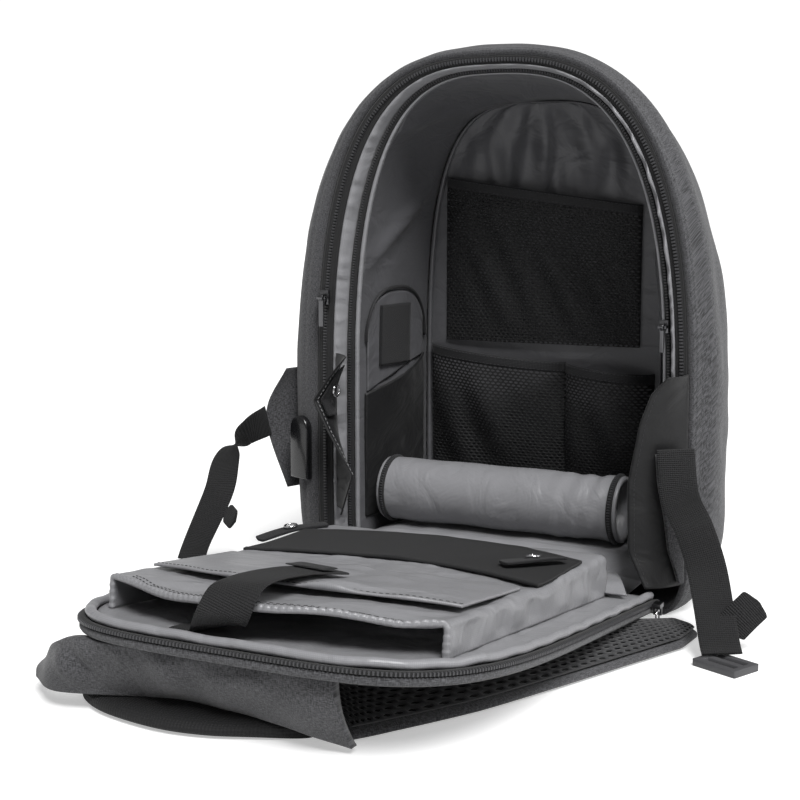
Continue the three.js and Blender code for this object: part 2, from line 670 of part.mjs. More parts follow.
// The panel's half of the main zip stands round the board's edge, with bound cloth below it.
const tapeIn = boardInset - GAP;
const tapeOut = tapeIn - PANEL_TAPE_WIDTH;
add("panel_zip_tape", panelBand([
  [tapeIn, 0.4],
  [tapeOut, 0.4],
  [tapeOut - 1.2, -0.6],
  [tapeOut - 1.2, -2],
  [tapeOut, -2.6],
  [tapeIn, -2.6],
], 2), blackCloth);
const bindingTop = -2.6 - GAP;
add("panel_edge_binding", panelBand([
  [tapeIn, bindingTop],
  [tapeOut, bindingTop],
  [tapeOut, bindingTop - 5],
  [tapeIn, bindingTop - 5],
], 2), heather);
add("panel_edge_piping", panelBand(
  roundSection(boardInset + 1.6, PANEL_PIPE_RADIUS + GAP, PANEL_PIPE_RADIUS, 5),
  6,
), lining);

// Hinge: the lining runs on from the padded floor down to the panel, and the outer cloth joins the two bases.
add("hinge_lining", sheetOf(5, 6, (v, u, side) => {
  const start = point(0, FLOOR_PAD_FRONT - GAP, FLOOR_PAD_TOP * 0.7);
  const place = start.lerp(onPanel(0, SLEEVE_START - 2, 3 * GAP + 2 * CLOTH), v);
  const half = mix(SEAM_LEFT - liningInset - padMargin, PANEL_HALF_WIDTH - boardInset - 12, v);
  const sag = 3 * Math.sin(Math.PI * v);
  return point((2 * u - 1) * half, place.y, place.z + sag + (side ? 0 : CLOTH));
}), lining);
add("hinge_cloth", sheetOf(2, 6, (v, u, side) => {
  const place = point(0, -GAP, GAP).lerp(onPanel(0, -3 * GAP, -BOARD_THICKNESS), v);
  return point((2 * u - 1) * (PANEL_HALF_WIDTH - 2 * boardInset), place.y, place.z + (side ? 0 : 2 * CLOTH));
}), heather);

// Laptop sleeve: a padded box of cloth, open at the mouth, lying on the panel's lining.
const sleeveFoot = 2 * GAP + CLOTH;
const sleeveHeight = (along) =>
  SLEEVE_HEIGHT * mix(SLEEVE_CROWN, 1, smooth(clamp((along - SLEEVE_START) / (BAND_START + BAND_WIDTH), 0, 1)));

// The sleeve's section: up one side, round its corner, over the top and down the other side.
const SLEEVE_COLUMNS = 10;
function sleeveArch(height, inset) {
  const half = SLEEVE_HALF_WIDTH - inset;
  const top = height - inset;
  const corner = Math.max(SLEEVE_CORNER - inset, 1);
  const left = [
    [-half, 0],
    [-half, top - corner],
    [-half + corner * 0.3, top - corner * 0.3],
    [-half + corner, top],
    [-half * 0.5, top],
  ];
  return [...left, [0, top], ...left.map(([a, h]) => [-a, h]).reverse()];
}
const mouthReach = (across) =>
  SLEEVE_END + SLEEVE_MOUTH_BOW * Math.cos((Math.PI / 2) * clamp(across / SLEEVE_HALF_WIDTH, -1, 1));

add("laptop_sleeve", sheetOf(8, SLEEVE_COLUMNS, (v, u, side) => {
  const column = Math.round(u * SLEEVE_COLUMNS);
  const [outer] = sleeveArch(SLEEVE_HEIGHT, 0)[column];
  const along = mix(SLEEVE_START, mouthReach(outer), v);
  const [across, height] = sleeveArch(sleeveHeight(along), side * SLEEVE_WALL)[column];
  return onPanel(across, along, sleeveFoot + height);
}), lining);

// The tablet pocket and the wide woven band lie on the sleeve.
const onSleeve = (across, along, lift) => onPanel(across, along, sleeveFoot + sleeveHeight(along) + GAP + lift);
add("tablet_pocket", sheetOf(5, 8, (v, u, side) => {
  const share = 2 * u - 1;
  const across = share * (SLEEVE_HALF_WIDTH - SLEEVE_CORNER - 3);
  const along = mix(TABLET_START, TABLET_END + TABLET_BOW * Math.cos((Math.PI / 2) * share), v);
  const open = TABLET_RISE * smooth(v) * Math.cos((Math.PI / 2) * share * 0.98) ** 0.5;
  return onSleeve(across, along, open + side * CLOTH);
}), lining);

add("cross_band", sheetOf(5, 10, (v, u, side) => {
  const share = 2 * u - 1;
  const along = BAND_START + BAND_WIDTH * v + BAND_BOW * share ** 2;
  return onSleeve(share * (SLEEVE_HALF_WIDTH - 4), along, GAP + side * BAND_THICKNESS);
}), webbing);

// Strap that closes the sleeve: from the panel's far edge, over the mouth and along the top.
const strapLift = SLEEVE_STRAP_THICKNESS / 2 + GAP;
const overSleeve = sleeveFoot + SLEEVE_HEIGHT + 2 * GAP + TABLET_RISE + CLOTH + strapLift;
add("sleeve_strap", strap([
  { at: panelPlace(-46, PANEL_LENGTH - 32, sleeveFoot + strapLift), wide: [0.1, 0.99, -0.125] },
  { at: panelPlace(-26, PANEL_LENGTH - 31, sleeveFoot + strapLift + 1), wide: [0.2, 0.97, -0.125] },
  { at: panelPlace(-4, PANEL_LENGTH - 7, sleeveFoot + 15), wide: [0.9, 0.4, -0.05] },
  { at: panelPlace(3, SLEEVE_END + SLEEVE_MOUTH_BOW, overSleeve + 4), wide: [1, 0.2, 0] },
  { at: panelPlace(-4, TABLET_END + 4, overSleeve + 3), wide: [1, -0.1, 0] },
  { at: panelPlace(2, TABLET_END - 36, overSleeve), wide: [1, -0.2, 0] },
], SLEEVE_STRAP_WIDTH, SLEEVE_STRAP_THICKNESS), webbing);
add("strap_label", strap([
  { at: panelPlace(-3, TABLET_END - 10, overSleeve + 4.4), wide: [1, -0.1, 0] },
  { at: panelPlace(-1, TABLET_END - 10 - LABEL_LENGTH, overSleeve + 3.9), wide: [1, -0.12, 0] },
], SLEEVE_STRAP_WIDTH, 1), blackCloth);

// A ring of wire that lies flat in its own frame, for snaps and pulls.
function wireRing(radius, wire, sides = 14) {
  const section = Array.from({ length: 6 }, (_, i) => {
    const angle = ((i % 5) / 5) * 2 * Math.PI;
    return new THREE.Vector2(radius + wire * Math.cos(angle), wire * Math.sin(angle));
  });
  return new THREE.LatheGeometry(section, sides);
}

// A geometry moved so that its own Y axis points along a direction, at a place.
function stand(geometry, place, direction) {
  const turn = new THREE.Quaternion().setFromUnitVectors(point(0, 1, 0), direction.clone().normalize());
  return geometry.applyQuaternion(turn).translate(place.x, place.y, place.z);
}

// Hook-and-loop tabs beside the band, each with a ring snap.
const TABS = {
  left: {
    wide: [1, -0.2, 0.05],
    rows: [
      { across: -0.93, along: 0.14, rise: -1.2 },
      { across: -1.1, along: 0.2, rise: -4 },
      { across: -1.24, along: 0.26, rise: -10 },
    ],
  },
  right: {
    wide: [1, 0.7, 0.02],
    rows: [
      { across: 0.6, along: 0.34, rise: 1.8 },
      { across: 0.75, along: 0.295, rise: 2.4 },
      { across: 0.9, along: 0.25, rise: 2.4 },
    ],
  },
};
const tabLift = GAP + BAND_THICKNESS + GAP + TAB_THICKNESS / 2;
for (const [side, tab] of Object.entries(TABS)) {
  const places = tab.rows.map((row) =>
    onSleeve(row.across * SLEEVE_HALF_WIDTH, row.along * PANEL_LENGTH, tabLift + row.rise));
  const stations = places.map((place) => ({ at: place.toArray(), wide: tab.wide }));
  add(`hook_tab_${side}`, strap(stations, TAB_WIDTH, TAB_THICKNESS), hookLoop);
  const run = places[2].clone().sub(places[0]);
  const facing = new THREE.Vector3().crossVectors(run, point(...tab.wide)).normalize();
  facing.multiplyScalar(Math.sign(facing.z));
  const seat = places[1].clone().addScaledVector(facing, TAB_THICKNESS / 2 + SNAP_WIRE + 2 * GAP);
  add(`snap_ring_${side}`, stand(wireRing(SNAP_RADIUS, SNAP_WIRE), seat, facing), metal);
}

// Gussets: cloth webs between the opening's edge and the panel, folded outwards. Heights are shares of the
// gusset's height; the base and the free edge are shares of the seam's half width.
const GUSSETS = {
  left: {
    foot: 58, top: 188, base: -1, reach: 30, side: -1, half: SEAM_LEFT,
    rows: [
      { height: 0, base: 0.857, edge: 0.73 },
      { height: 0.26, base: 0.857, edge: 0.66 },
      { height: 0.52, base: 0.857, edge: 0.8 },
      { height: 0.72, base: 0.857, edge: 0.89 },
      { height: 0.87, base: 0.857, edge: 0.8 },
      { height: 1, base: 0.855, edge: 0.7 },
    ],
  },
  right: {
    foot: 26, top: 186, base: -0.45, reach: 26, side: 1, half: SEAM_RIGHT,
    rows: [
      { height: 0, base: 0.975, edge: 0.85 },
      { height: 0.17, base: 0.985, edge: 0.77 },
      { height: 0.49, base: 0.985, edge: 0.76 },
      { height: 0.78, base: 0.984, edge: 0.81 },
      { height: 0.92, base: 0.98, edge: 0.86 },
      { height: 1, base: 0.976, edge: 0.93 },
    ],
  },
};

// A place on a gusset: a share of its height, a share from its base to its free edge, and how far off its
// outer face.
function onGusset(gusset, v, u, off) {
  const z = mix(gusset.foot, gusset.top, between(gusset.rows, v, "height"));
  const base = gusset.side * gusset.half * between(gusset.rows, v, "base");
  const edge = gusset.side * gusset.half * between(gusset.rows, v, "edge");
  const run = new THREE.Vector2(edge - base, -gusset.reach).normalize();
  const bow = 3 * Math.sin(Math.PI * u);
  const x = mix(base, edge, u) + (off + bow) * -run.y;
  const y = mix(gusset.base, gusset.base - gusset.reach, u) + (off + bow) * run.x;
  return point(x, y, z);
}
for (const [side, gusset] of Object.entries(GUSSETS)) {
  add(`gusset_${side}`, sheetOf(5, 3, (v, u, face) => onGusset(gusset, v, u, face * CLOTH)), blackCloth);
}

// Hook strip and ring snap on the left gusset.
add("gusset_hook_strip", sheetOf(4, 2, (v, u, face) =>
  onGusset(GUSSETS.left, mix(0.5, 0.9, v), mix(0.45, 0.85, u), CLOTH + 4 * GAP + face * CLOTH)), hookLoop);
const snapLift = 2 * CLOTH + 11 * GAP + SNAP_WIRE;
const snapSeat = onGusset(GUSSETS.left, 0.68, 0.65, snapLift);
const snapFacing = onGusset(GUSSETS.left, 0.68, 0.65, snapLift + 1).sub(snapSeat);
add("gusset_snap", stand(wireRing(SNAP_RADIUS, SNAP_WIRE), snapSeat, snapFacing), metal);

// Wings: triangles of the outer cloth that hold the lower webbing of the shoulder straps.
const leftWing = [
  { height: 67, base: 184.8, tip: 190 },
  { height: 112, base: 186.8, tip: 208 },
  { height: 139, base: 187.3, tip: 209 },
  { height: 171, base: 186.3, tip: 190 },
];
add("wing_left", sheetOf(6, 2, (v, u, face) => {
  const z = between(leftWing, v, "height");
  const x = -mix(between(leftWing, v, "base"), between(leftWing, v, "tip"), u);
  return point(x, 26 - 14 * u + face * WING_THICKNESS, z);
}), heather);
const wingRight = [
  { height: 0.02, from: 0.06, to: 0.2 },
  { height: 0.3, from: 0.05, to: 0.42 },
  { height: 0.62, from: 0.06, to: 0.78 },
];
const wingFoot = CLOTH + 2 * GAP;
add("wing_right", sheetOf(5, 3, (v, u, face) => {
  const share = mix(between(wingRight, v, "from"), between(wingRight, v, "to"), u);
  return onGusset(GUSSETS.right, between(wingRight, v, "height"), share, wingFoot + (1 - face) * WING_THICKNESS);
}), heather);

// Webbing from the wings down to the ends of the shoulder straps.
add("webbing_left", strap([
  { at: [-206.4, 7.8, 125], wide: [0.1, 0.1, 1] },
  { at: [-214, -14, 117], wide: [0.35, 0.1, 0.95] },
  { at: [-224, -30, 98], wide: [0.75, 0.25, 0.5] },
  { at: [-220, -50, 72], wide: [1, 0.15, 0.1] },
  { at: [-226, -74, 34], wide: [1, -0.1, 0] },
  { at: [-226, -84, 20.2], wide: [1, -0.1, 0] },
], WEBBING_WIDTH, WEBBING_THICKNESS), webbing);
const webbingSeat = wingFoot + WING_THICKNESS + GAP + WEBBING_THICKNESS;
add("webbing_right", strap([
  { at: onGusset(GUSSETS.right, 0.47, 0.34, webbingSeat + 2 * GAP).toArray(), wide: [0.8, 0.55, 0.25] },
  { at: [168, -29, 99], wide: [0.9, 0.35, 0.15] },
  { at: [181, -37, 78], wide: [1, 0.2, 0] },
  { at: [194, -50, 54], wide: [1, 0, -0.15] },
  { at: [206, -73, 30], wide: [1, 0.2, -0.15] },
  { at: [214, -89, 13], wide: [1, 0.4, 0] },
  { at: [218, -97, 7.2], wide: [1, 0.4, 0] },
], WEBBING_WIDTH, WEBBING_THICKNESS), webbing);

// Charging-port hood: a bullet-shaped cover on the shell's left edge, flat against the cloth.
function hood() {
  const half = HOOD.width / 2;
  const shape = new THREE.Shape();
  shape.moveTo(-half, -HOOD.height / 2);
  shape.lineTo(half, -HOOD.height / 2);
  shape.lineTo(half, HOOD.height / 2 - half);
  shape.absarc(0, HOOD.height / 2 - half, half, 0, Math.PI, false);
  const rim = 1.6;
  const geometry = new THREE.ExtrudeGeometry(shape, {
    depth: HOOD.thickness - 2 * rim,
    bevelSize: rim,
    bevelOffset: -rim,
    bevelThickness: rim,
    bevelSegments: 2,
    curveSegments: 8,
  });
  return geometry.rotateX(Math.PI / 2).translate(0, -rim, 0);
}
const hoodBody = add("charging_hood", hood(), plastic);
const lipEdge = new THREE.Vector2(-SHELL_HALF_WIDTH * (1 - SHELL_RINGS[0].side), SHELL_DEPTH * SHELL_RINGS[0].depth);
const lip = lipEdge.clone().sub(new THREE.Vector2(-SEAM_LEFT, 0));
const hoodFacing = new THREE.Vector2(-lip.y, lip.x).normalize();
const hoodSeat = lipEdge.clone().addScaledVector(lip, -0.3).addScaledVector(hoodFacing, GAP);
hoodBody.rotation.z = Math.atan2(hoodFacing.x, -hoodFacing.y);
hoodBody.position.set(hoodSeat.x, hoodSeat.y, HOOD.at);

// Shoulder straps: foam on the floor with a net face on it, from the yoke round to the hinge. Rows give the
// middle of the strap as shares of the panel's half width and length, and its width, its inner edge's rise and
// its lift as shares of the strap's width.
const STRAPS = {
  right: {
    inner: 1,
    rows: [
      { across: 0.34, along: 0.8, width: 0.9, rise: 0.24, lift: 0 },
      { across: 0.53, along: 0.66, width: 1, rise: 0.2, lift: 0 },
      { across: 0.69, along: 0.52, width: 1, rise: 0.12, lift: 0 },
      { across: 0.83, along: 0.39, width: 1, rise: 0.05, lift: 0 },
      { across: 0.96, along: 0.27, width: 1, rise: 0.03, lift: 0 },
      { across: 1.08, along: 0.18, width: 0.9, rise: 0.02, lift: 0 },
      { across: 1.17, along: 0.115, width: 0.5, rise: 0, lift: 0 },
    ],
  },
  left: {
    inner: -1,
    rows: [
      { across: -0.4, along: 0.79, width: 0.9, rise: 0.14, lift: 0 },
      { across: -0.58, along: 0.66, width: 1, rise: 0.12, lift: 0 },
      { across: -0.8, along: 0.53, width: 1, rise: 0.06, lift: 0 },
      { across: -1.05, along: 0.41, width: 1, rise: 0.02, lift: 0 },
      { across: -1.3, along: 0.31, width: 1, rise: 0, lift: 0.04 },
      { across: -1.46, along: 0.23, width: 0.86, rise: 0, lift: 0.1 },
      { across: -1.52, along: 0.17, width: 0.5, rise: 0, lift: 0.12 },
    ],
  },
};
const STRAP_STEPS = 15;
function strapLayer(harness, bottom, top, margin) {
  const middle = new THREE.CatmullRomCurve3(harness.rows.map((row) =>
    point(row.across * PANEL_HALF_WIDTH, -row.along * PANEL_LENGTH, row.lift * STRAP_WIDTH)));
  return loft(Array.from({ length: STRAP_STEPS + 1 }, (_, i) => {
    const share = i / STRAP_STEPS;
    const centre = middle.getPoint(share);
    const run = middle.getTangent(share);
    const full = (between(harness.rows, share, "width") * STRAP_WIDTH) / 2;
    const half = full - margin;
    const rise = between(harness.rows, share, "rise") * STRAP_WIDTH;
    const across = point(-run.y, run.x, 0).normalize().multiplyScalar(half);
    const place = (w, height) => {
      const at = centre.clone().addScaledVector(across, w);
      at.z += height + rise * (1 + (w * harness.inner * half) / full) * 0.5;
      return at;
    };
    const soft = (top - bottom) * 0.35;
    return [
      place(-0.93, bottom),
      place(0.93, bottom),
      place(1, bottom + soft),
      place(0.9, top),
      place(-0.9, top),
      place(-1, bottom + soft),
    ];
  }));
}
for (const [side, harness] of Object.entries(STRAPS)) {
  add(`strap_${side}`, strapLayer(harness, 0, STRAP_FOAM, 0), heather);
  const netFoot = STRAP_FOAM + 3 * GAP;
  add(`strap_net_${side}`, strapLayer(harness, netFoot, netFoot + STRAP_NET, 3), netCloth);
}

// Yoke: the harness's outer cloth comes from under the panel's far edge and curls back to the floor. Rows
// give its course as shares of the panel's half width and length, and its lower edge's height.
const YOKE_ROWS = [
  { across: -1.07, top: 0.86, foot: 0.9, height: 12 },
  { across: -0.9, top: 0.945, foot: 0.94, height: 12 },
  { across: -0.68, top: 0.968, foot: 0.925, height: 12 },
  { across: -0.4, top: 0.97, foot: 0.885, height: 12 },
  { across: -0.13, top: 0.97, foot: 0.89, height: 12 },
  { across: 0.1, top: 0.97, foot: 0.905, height: 11.6 },
  { across: 0.32, top: 0.97, foot: 0.915, height: 9 },
  { across: 0.45, top: 0.965, foot: 0.9, height: 4 },
];
add("yoke", sheetOf(4, 14, (v, u, side) => {
  const across = PANEL_HALF_WIDTH * between(YOKE_ROWS, u, "across");
  const top = onPanel(across, PANEL_LENGTH * between(YOKE_ROWS, u, "top"), bindingTop - 5 - 4 * GAP);
  const foot = -PANEL_LENGTH * between(YOKE_ROWS, u, "foot") - PANEL_HINGE_Z;
  const y = mix(top.y, foot, v ** 2) + side * YOKE_THICKNESS;
  return point(across, y, mix(top.z, between(YOKE_ROWS, u, "height"), v));
}), heather);

// Padded end of the harness on the floor under the yoke.
const YOKE_PAD_ROWS = [
  { across: -0.93, reach: 0.885 },
  { across: -0.83, reach: 0.94 },
  { across: -0.65, reach: 0.98 },
  { across: -0.37, reach: 1.0 },
  { across: -0.15, reach: 0.99 },
  { across: 0.04, reach: 0.96 },
  { across: 0.2, reach: 0.93 },
  { across: 0.25, reach: 0.9 },
];
add("yoke_pad", sheetOf(3, 10, (v, u, side) => {
  const reach = PANEL_LENGTH * between(YOKE_PAD_ROWS, u, "reach");
  const y = mix(-0.862 * PANEL_LENGTH, -reach, v);
  const round = 1 - 0.35 * v ** 4;
  return point(PANEL_HALF_WIDTH * between(YOKE_PAD_ROWS, u, "across"), y, side ? YOKE_PAD_HEIGHT * round : 0);
}), blackCloth);

// Strap tail on the left and the folded tail with its flat tab on the right.
add("tail_left", strap([
  { at: [-204.2, -63.6, 59], wide: [0.2, 0.3, 1] },
  { at: [-196, -69, 56], wide: [0.2, 0.3, 1] },
  { at: [-189, -74, 54], wide: [0.2, 0.3, 1] },
], WEBBING_WIDTH * 0.6, WEBBING_THICKNESS), webbing);
add("tail_right", strap([
  { at: [228.2, -64, 42], wide: [0.9, 0.4, 0.3] },
  { at: [234.2, -58, 34], wide: [0.9, 0.4, 0.3] },
  { at: [234.2, -58, 20], wide: [0.9, 0.4, 0.2] },
  { at: [227.2, -66, 10], wide: [0.9, 0.4, 0] },
], WEBBING_WIDTH * 0.9, WEBBING_THICKNESS), webbing);
function ladderBuckle() {
  const plate = toSolid(new THREE.BoxGeometry(BUCKLE.width, BUCKLE.length, BUCKLE.thickness));
  const slotWidth = BUCKLE.width - 2 * BUCKLE.bar;
  const slotLength = (BUCKLE.length - 3 * BUCKLE.bar) / 2;
  const slot = (sign) => toSolid(
    new THREE.BoxGeometry(slotWidth, slotLength, 2 * BUCKLE.thickness)
      .translate(0, (sign * (slotLength + BUCKLE.bar)) / 2, 0),
  );
  return toGeometry(plate.subtract(slot(-1)).subtract(slot(1)));
}
const buckle = add("buckle_right", ladderBuckle(), greyPlastic);
buckle.rotation.z = -25 * DEGREE;
buckle.position.set(222, -104, BUCKLE.thickness / 2);

// Zip sliders with a bail, and pulls that hang from the bails' bars. Each is made hanging along -Z with its
// bar along X and its face towards -Y, the bar's middle at the origin.
function sliderBody(size) {
  const back = SLIDER.bail + SLIDER.bar;
  const plate = toSolid(new THREE.BoxGeometry(size * SLIDER.width, SLIDER.thickness, size * SLIDER.length)
    .translate(0, back + SLIDER.thickness / 2, 0));
  const reach = back + SLIDER.bar;
  const posts = [-1, 1].map((sign) => toSolid(new THREE.BoxGeometry(1.4, reach, 2 * SLIDER.bar)
    .translate((sign * (size * SLIDER.width - 1.4)) / 2, reach / 2 - SLIDER.bar, 0)));
  const bar = toSolid(new THREE.CylinderGeometry(SLIDER.bar, SLIDER.bar, size * SLIDER.width - 0.6, 10)
    .rotateZ(Math.PI / 2));
  return toGeometry(plate.add(posts[0]).add(posts[1]).add(bar));
}

function pullTab(size) {
  const width = size * SLIDER.width - 2 * 1.4 - 2 * PULL.play;
  const eye = SLIDER.bar + PULL.play;
  const head = toSolid(new THREE.CylinderGeometry(eye + 1.1, eye + 1.1, width, 14).rotateZ(Math.PI / 2));
  const tab = toSolid(new THREE.BoxGeometry(width, PULL.thickness, size * PULL.length)
    .translate(0, 0, -(size * PULL.length) / 2));
  const hole = toSolid(new THREE.CylinderGeometry(eye, eye, 2 * width, 14).rotateZ(Math.PI / 2));
  return toGeometry(head.add(tab).subtract(hole));
}

function zipSlider(name, size, place, turn) {
  const parts = [add(`${name}_slider`, sliderBody(size), darkMetal), add(`${name}_pull`, pullTab(size), darkMetal)];
  for (const part of parts) {
    part.rotation.set(turn.x, turn.y, turn.z, "ZYX");
    part.position.copy(place);
  }
}
const sliderStand = SLIDER.bail + SLIDER.bar + SLIDER.thickness + GAP;
const mainPlace = onRim(Math.PI - 0.33, (teethOut + teethIn) / 2, -TEETH_HEIGHT - sliderStand);
zipSlider("main_zip", 1, mainPlace, { x: 0, y: 0, z: 0 });
const innerPlace = onRim(0.29, innerTapeOut + 5.5, TRIM_BAND_DEPTH - TEETH_HEIGHT - sliderStand);
zipSlider("inner_zip", 0.8, innerPlace, { x: 0, y: 0, z: 0 });

// The panel's slider sits beside the end of its zip, face down, and a wire ring hangs from its bail.
const RING = { radius: 4.5, wire: 0.9, along: 18, size: 0.8 };
const ringPlace = onPanel(PANEL_HALF_WIDTH + 4.5, RING.along, -sliderStand + 1);
const ringSlider = add("panel_zip_slider", sliderBody(RING.size), darkMetal);
ringSlider.rotation.x = Math.PI / 2;
ringSlider.position.copy(ringPlace);
const ringDrop = RING.radius - RING.wire - SLIDER.bar - PULL.play;
const ringPull = add("panel_zip_pull", wireRing(RING.radius, RING.wire, 18).rotateZ(Math.PI / 2), metal);
ringPull.position.copy(ringPlace).add(point(0, 0, -ringDrop));

export default backpack;
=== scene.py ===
"""An anti theft backpack, shown open: its cloth, mesh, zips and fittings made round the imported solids."""
import math

import bpy
import numpy as np
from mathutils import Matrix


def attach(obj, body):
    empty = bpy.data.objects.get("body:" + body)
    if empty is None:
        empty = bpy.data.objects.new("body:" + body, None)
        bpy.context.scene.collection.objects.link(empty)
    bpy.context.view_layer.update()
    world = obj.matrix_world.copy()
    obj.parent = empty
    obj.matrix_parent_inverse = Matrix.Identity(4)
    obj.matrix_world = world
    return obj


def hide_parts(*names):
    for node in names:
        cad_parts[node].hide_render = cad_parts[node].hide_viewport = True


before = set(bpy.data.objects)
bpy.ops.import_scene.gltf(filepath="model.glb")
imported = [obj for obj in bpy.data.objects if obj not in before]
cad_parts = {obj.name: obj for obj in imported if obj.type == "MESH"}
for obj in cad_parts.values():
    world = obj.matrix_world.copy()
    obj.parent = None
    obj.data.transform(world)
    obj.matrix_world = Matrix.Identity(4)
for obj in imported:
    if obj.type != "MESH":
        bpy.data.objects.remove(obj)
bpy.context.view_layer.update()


# Studio: a plain pale floor that glows a little, as a lit table does, a dim surround and a broad lamp high on
# the right, and the camera of the photograph, which stands 1.1 m away, to the right of the opening and low.
MM = 0.001  # sizes below are in millimetres unless they say otherwise


def linear(hex_colour):
    """A colour given as sRGB hex digits, turned into linear red, green, blue and alpha."""
    srgb = np.array([int(hex_colour[i:i + 2], 16) for i in (0, 2, 4)]) / 255
    value = np.where(srgb <= 0.04045, srgb / 12.92, ((srgb + 0.055) / 1.055) ** 2.4)
    return (*value.tolist(), 1.0)


def add_node(tree, kind, inputs=None, **settings):
    """Adds one shader node: settings are its own properties, inputs are values or other nodes' outputs."""
    made = tree.nodes.new(kind)
    for name, value in settings.items():
        setattr(made, name, value)
    for socket, value in (inputs or {}).items():
        if isinstance(value, bpy.types.NodeSocket):
            tree.links.new(value, made.inputs[socket])
        else:
            made.inputs[socket].default_value = value
    return made


def new_material(name, surface):
    """A material with one Principled shader, its constant values set on its own sockets."""
    material = bpy.data.materials.new(name)
    material.use_nodes = True
    tree = material.node_tree
    tree.nodes.clear()
    shader = add_node(tree, "ShaderNodeBsdfPrincipled", surface)
    add_node(tree, "ShaderNodeOutputMaterial", {"Surface": shader.outputs["BSDF"]})
    return material, tree, shader


def plain_material(name, colour, roughness, **more):
    """A material of one even colour."""
    surface = {"Base Color": linear(colour), "Roughness": roughness}
    surface.update({socket.replace("_", " "): value for socket, value in more.items()})
    return new_material(name, surface)[0]


def maths(tree, operation, first, second):
    """One sum or product of two values in a material."""
    return add_node(tree, "ShaderNodeMath", {0: first, 1: second}, operation=operation).outputs[0]


def shade_of(colour, share):
    """A colour with its red, green and blue multiplied by one share."""
    return np.minimum(np.array(linear(colour)) * (share, share, share, 1), 1).tolist()


def blended(tree, shader, factor, dark, light):
    """Colours a surface between a dark and a light colour by a factor, such as its weave's height."""
    shade = add_node(tree, "ShaderNodeMix", {"Factor": factor, 6: dark, 7: light}, data_type="RGBA")
    tree.links.new(shade.outputs[2], shader.inputs["Base Color"])


def bumped(tree, shader, strength, depth, height, under=None):
    """Raises a surface by a height from 0 to 1 over a depth in millimetres, on an earlier bump if given."""
    inputs = {"Strength": strength, "Distance": depth * MM, "Height": height}
    if under is not None:
        inputs["Normal"] = under
    bump = add_node(tree, "ShaderNodeBump", inputs)
    tree.links.new(bump.outputs[0], shader.inputs["Normal"])
    return bump.outputs[0]


FLOOR_HALF = 9.0  # metres
PAPER_GLOW = (0.12, 0.42)  # how strongly the paper lights the bag, and how strongly it is seen
floor_mesh = bpy.data.meshes.new("floor")
floor_corners = [(-FLOOR_HALF, -FLOOR_HALF, 0), (FLOOR_HALF, -FLOOR_HALF, 0), (FLOOR_HALF, FLOOR_HALF, 0),
                 (-FLOOR_HALF, FLOOR_HALF, 0)]
floor_mesh.from_pydata(floor_corners, [], [(0, 1, 2, 3)])
floor = bpy.data.objects.new("floor", floor_mesh)
bpy.context.scene.collection.objects.link(floor)
paper, paper_tree, paper_shader = new_material("matt_white_paper", {
    "Base Color": linear("e0e0e0"), "Roughness": 0.9, "Emission Color": (1, 1, 1, 1)})
looked_at = add_node(paper_tree, "ShaderNodeLightPath")
shine = add_node(paper_tree, "ShaderNodeMapRange", {
    "Value": looked_at.outputs["Is Camera Ray"], "To Min": PAPER_GLOW[0], "To Max": PAPER_GLOW[1]})
paper_tree.links.new(shine.outputs[0], paper_shader.inputs["Emission Strength"])
floor_mesh.materials.append(paper)

SURROUND = 0.24  # strength of the light from all round; the camera itself sees white
SEEN_WHITE = 1.1
world = bpy.data.worlds.new("white_studio")
world.use_nodes = True
sky = world.node_tree
sky.nodes.clear()
seen = add_node(sky, "ShaderNodeLightPath")
strength = add_node(sky, "ShaderNodeMapRange", {"Value": seen.outputs["Is Camera Ray"], "To Min": SURROUND,
                                                "To Max": SEEN_WHITE})
glow = add_node(sky, "ShaderNodeBackground", {"Color": (1, 1, 1, 1), "Strength": strength.outputs[0]})
add_node(sky, "ShaderNodeOutputWorld", {"Surface": glow.outputs[0]})
bpy.context.scene.world = world
bpy.context.scene.view_settings.view_transform = "Standard"

LAMPS = [
    {"name": "key", "from": (0.5, -0.55, 1.0), "strength": 3.6, "spread": 26},
    {"name": "rim", "from": (1.0, 0.35, 0.7), "strength": 0.8, "spread": 30},
]
for lamp in LAMPS:
    light = bpy.data.lights.new(lamp["name"], "SUN")
    light.energy = lamp["strength"]
    light.angle = math.radians(lamp["spread"])
    holder = bpy.data.objects.new(lamp["name"], light)
    bpy.context.scene.collection.objects.link(holder)
    x, y, z = lamp["from"]
    holder.rotation_euler = (math.atan2(math.hypot(x, y), z), 0, math.atan2(x, -y))

CAMERA_AZIMUTH = 26.244  # degrees
CAMERA_ELEVATION = 7.937
CAMERA_FOCAL = 63.5
CAMERA_SENSOR = 36
CAMERA_PLACE = (0.43194, -1.02774, 0.31181)  # metres
camera = bpy.data.objects.new("camera", bpy.data.cameras.new("camera"))
camera.data.lens = CAMERA_FOCAL
camera.data.sensor_width = CAMERA_SENSOR
camera.location = CAMERA_PLACE
camera.rotation_euler = (math.radians(90 - CAMERA_ELEVATION), 0, math.radians(CAMERA_AZIMUTH))
bpy.context.scene.collection.objects.link(camera)
bpy.context.scene.camera = camera


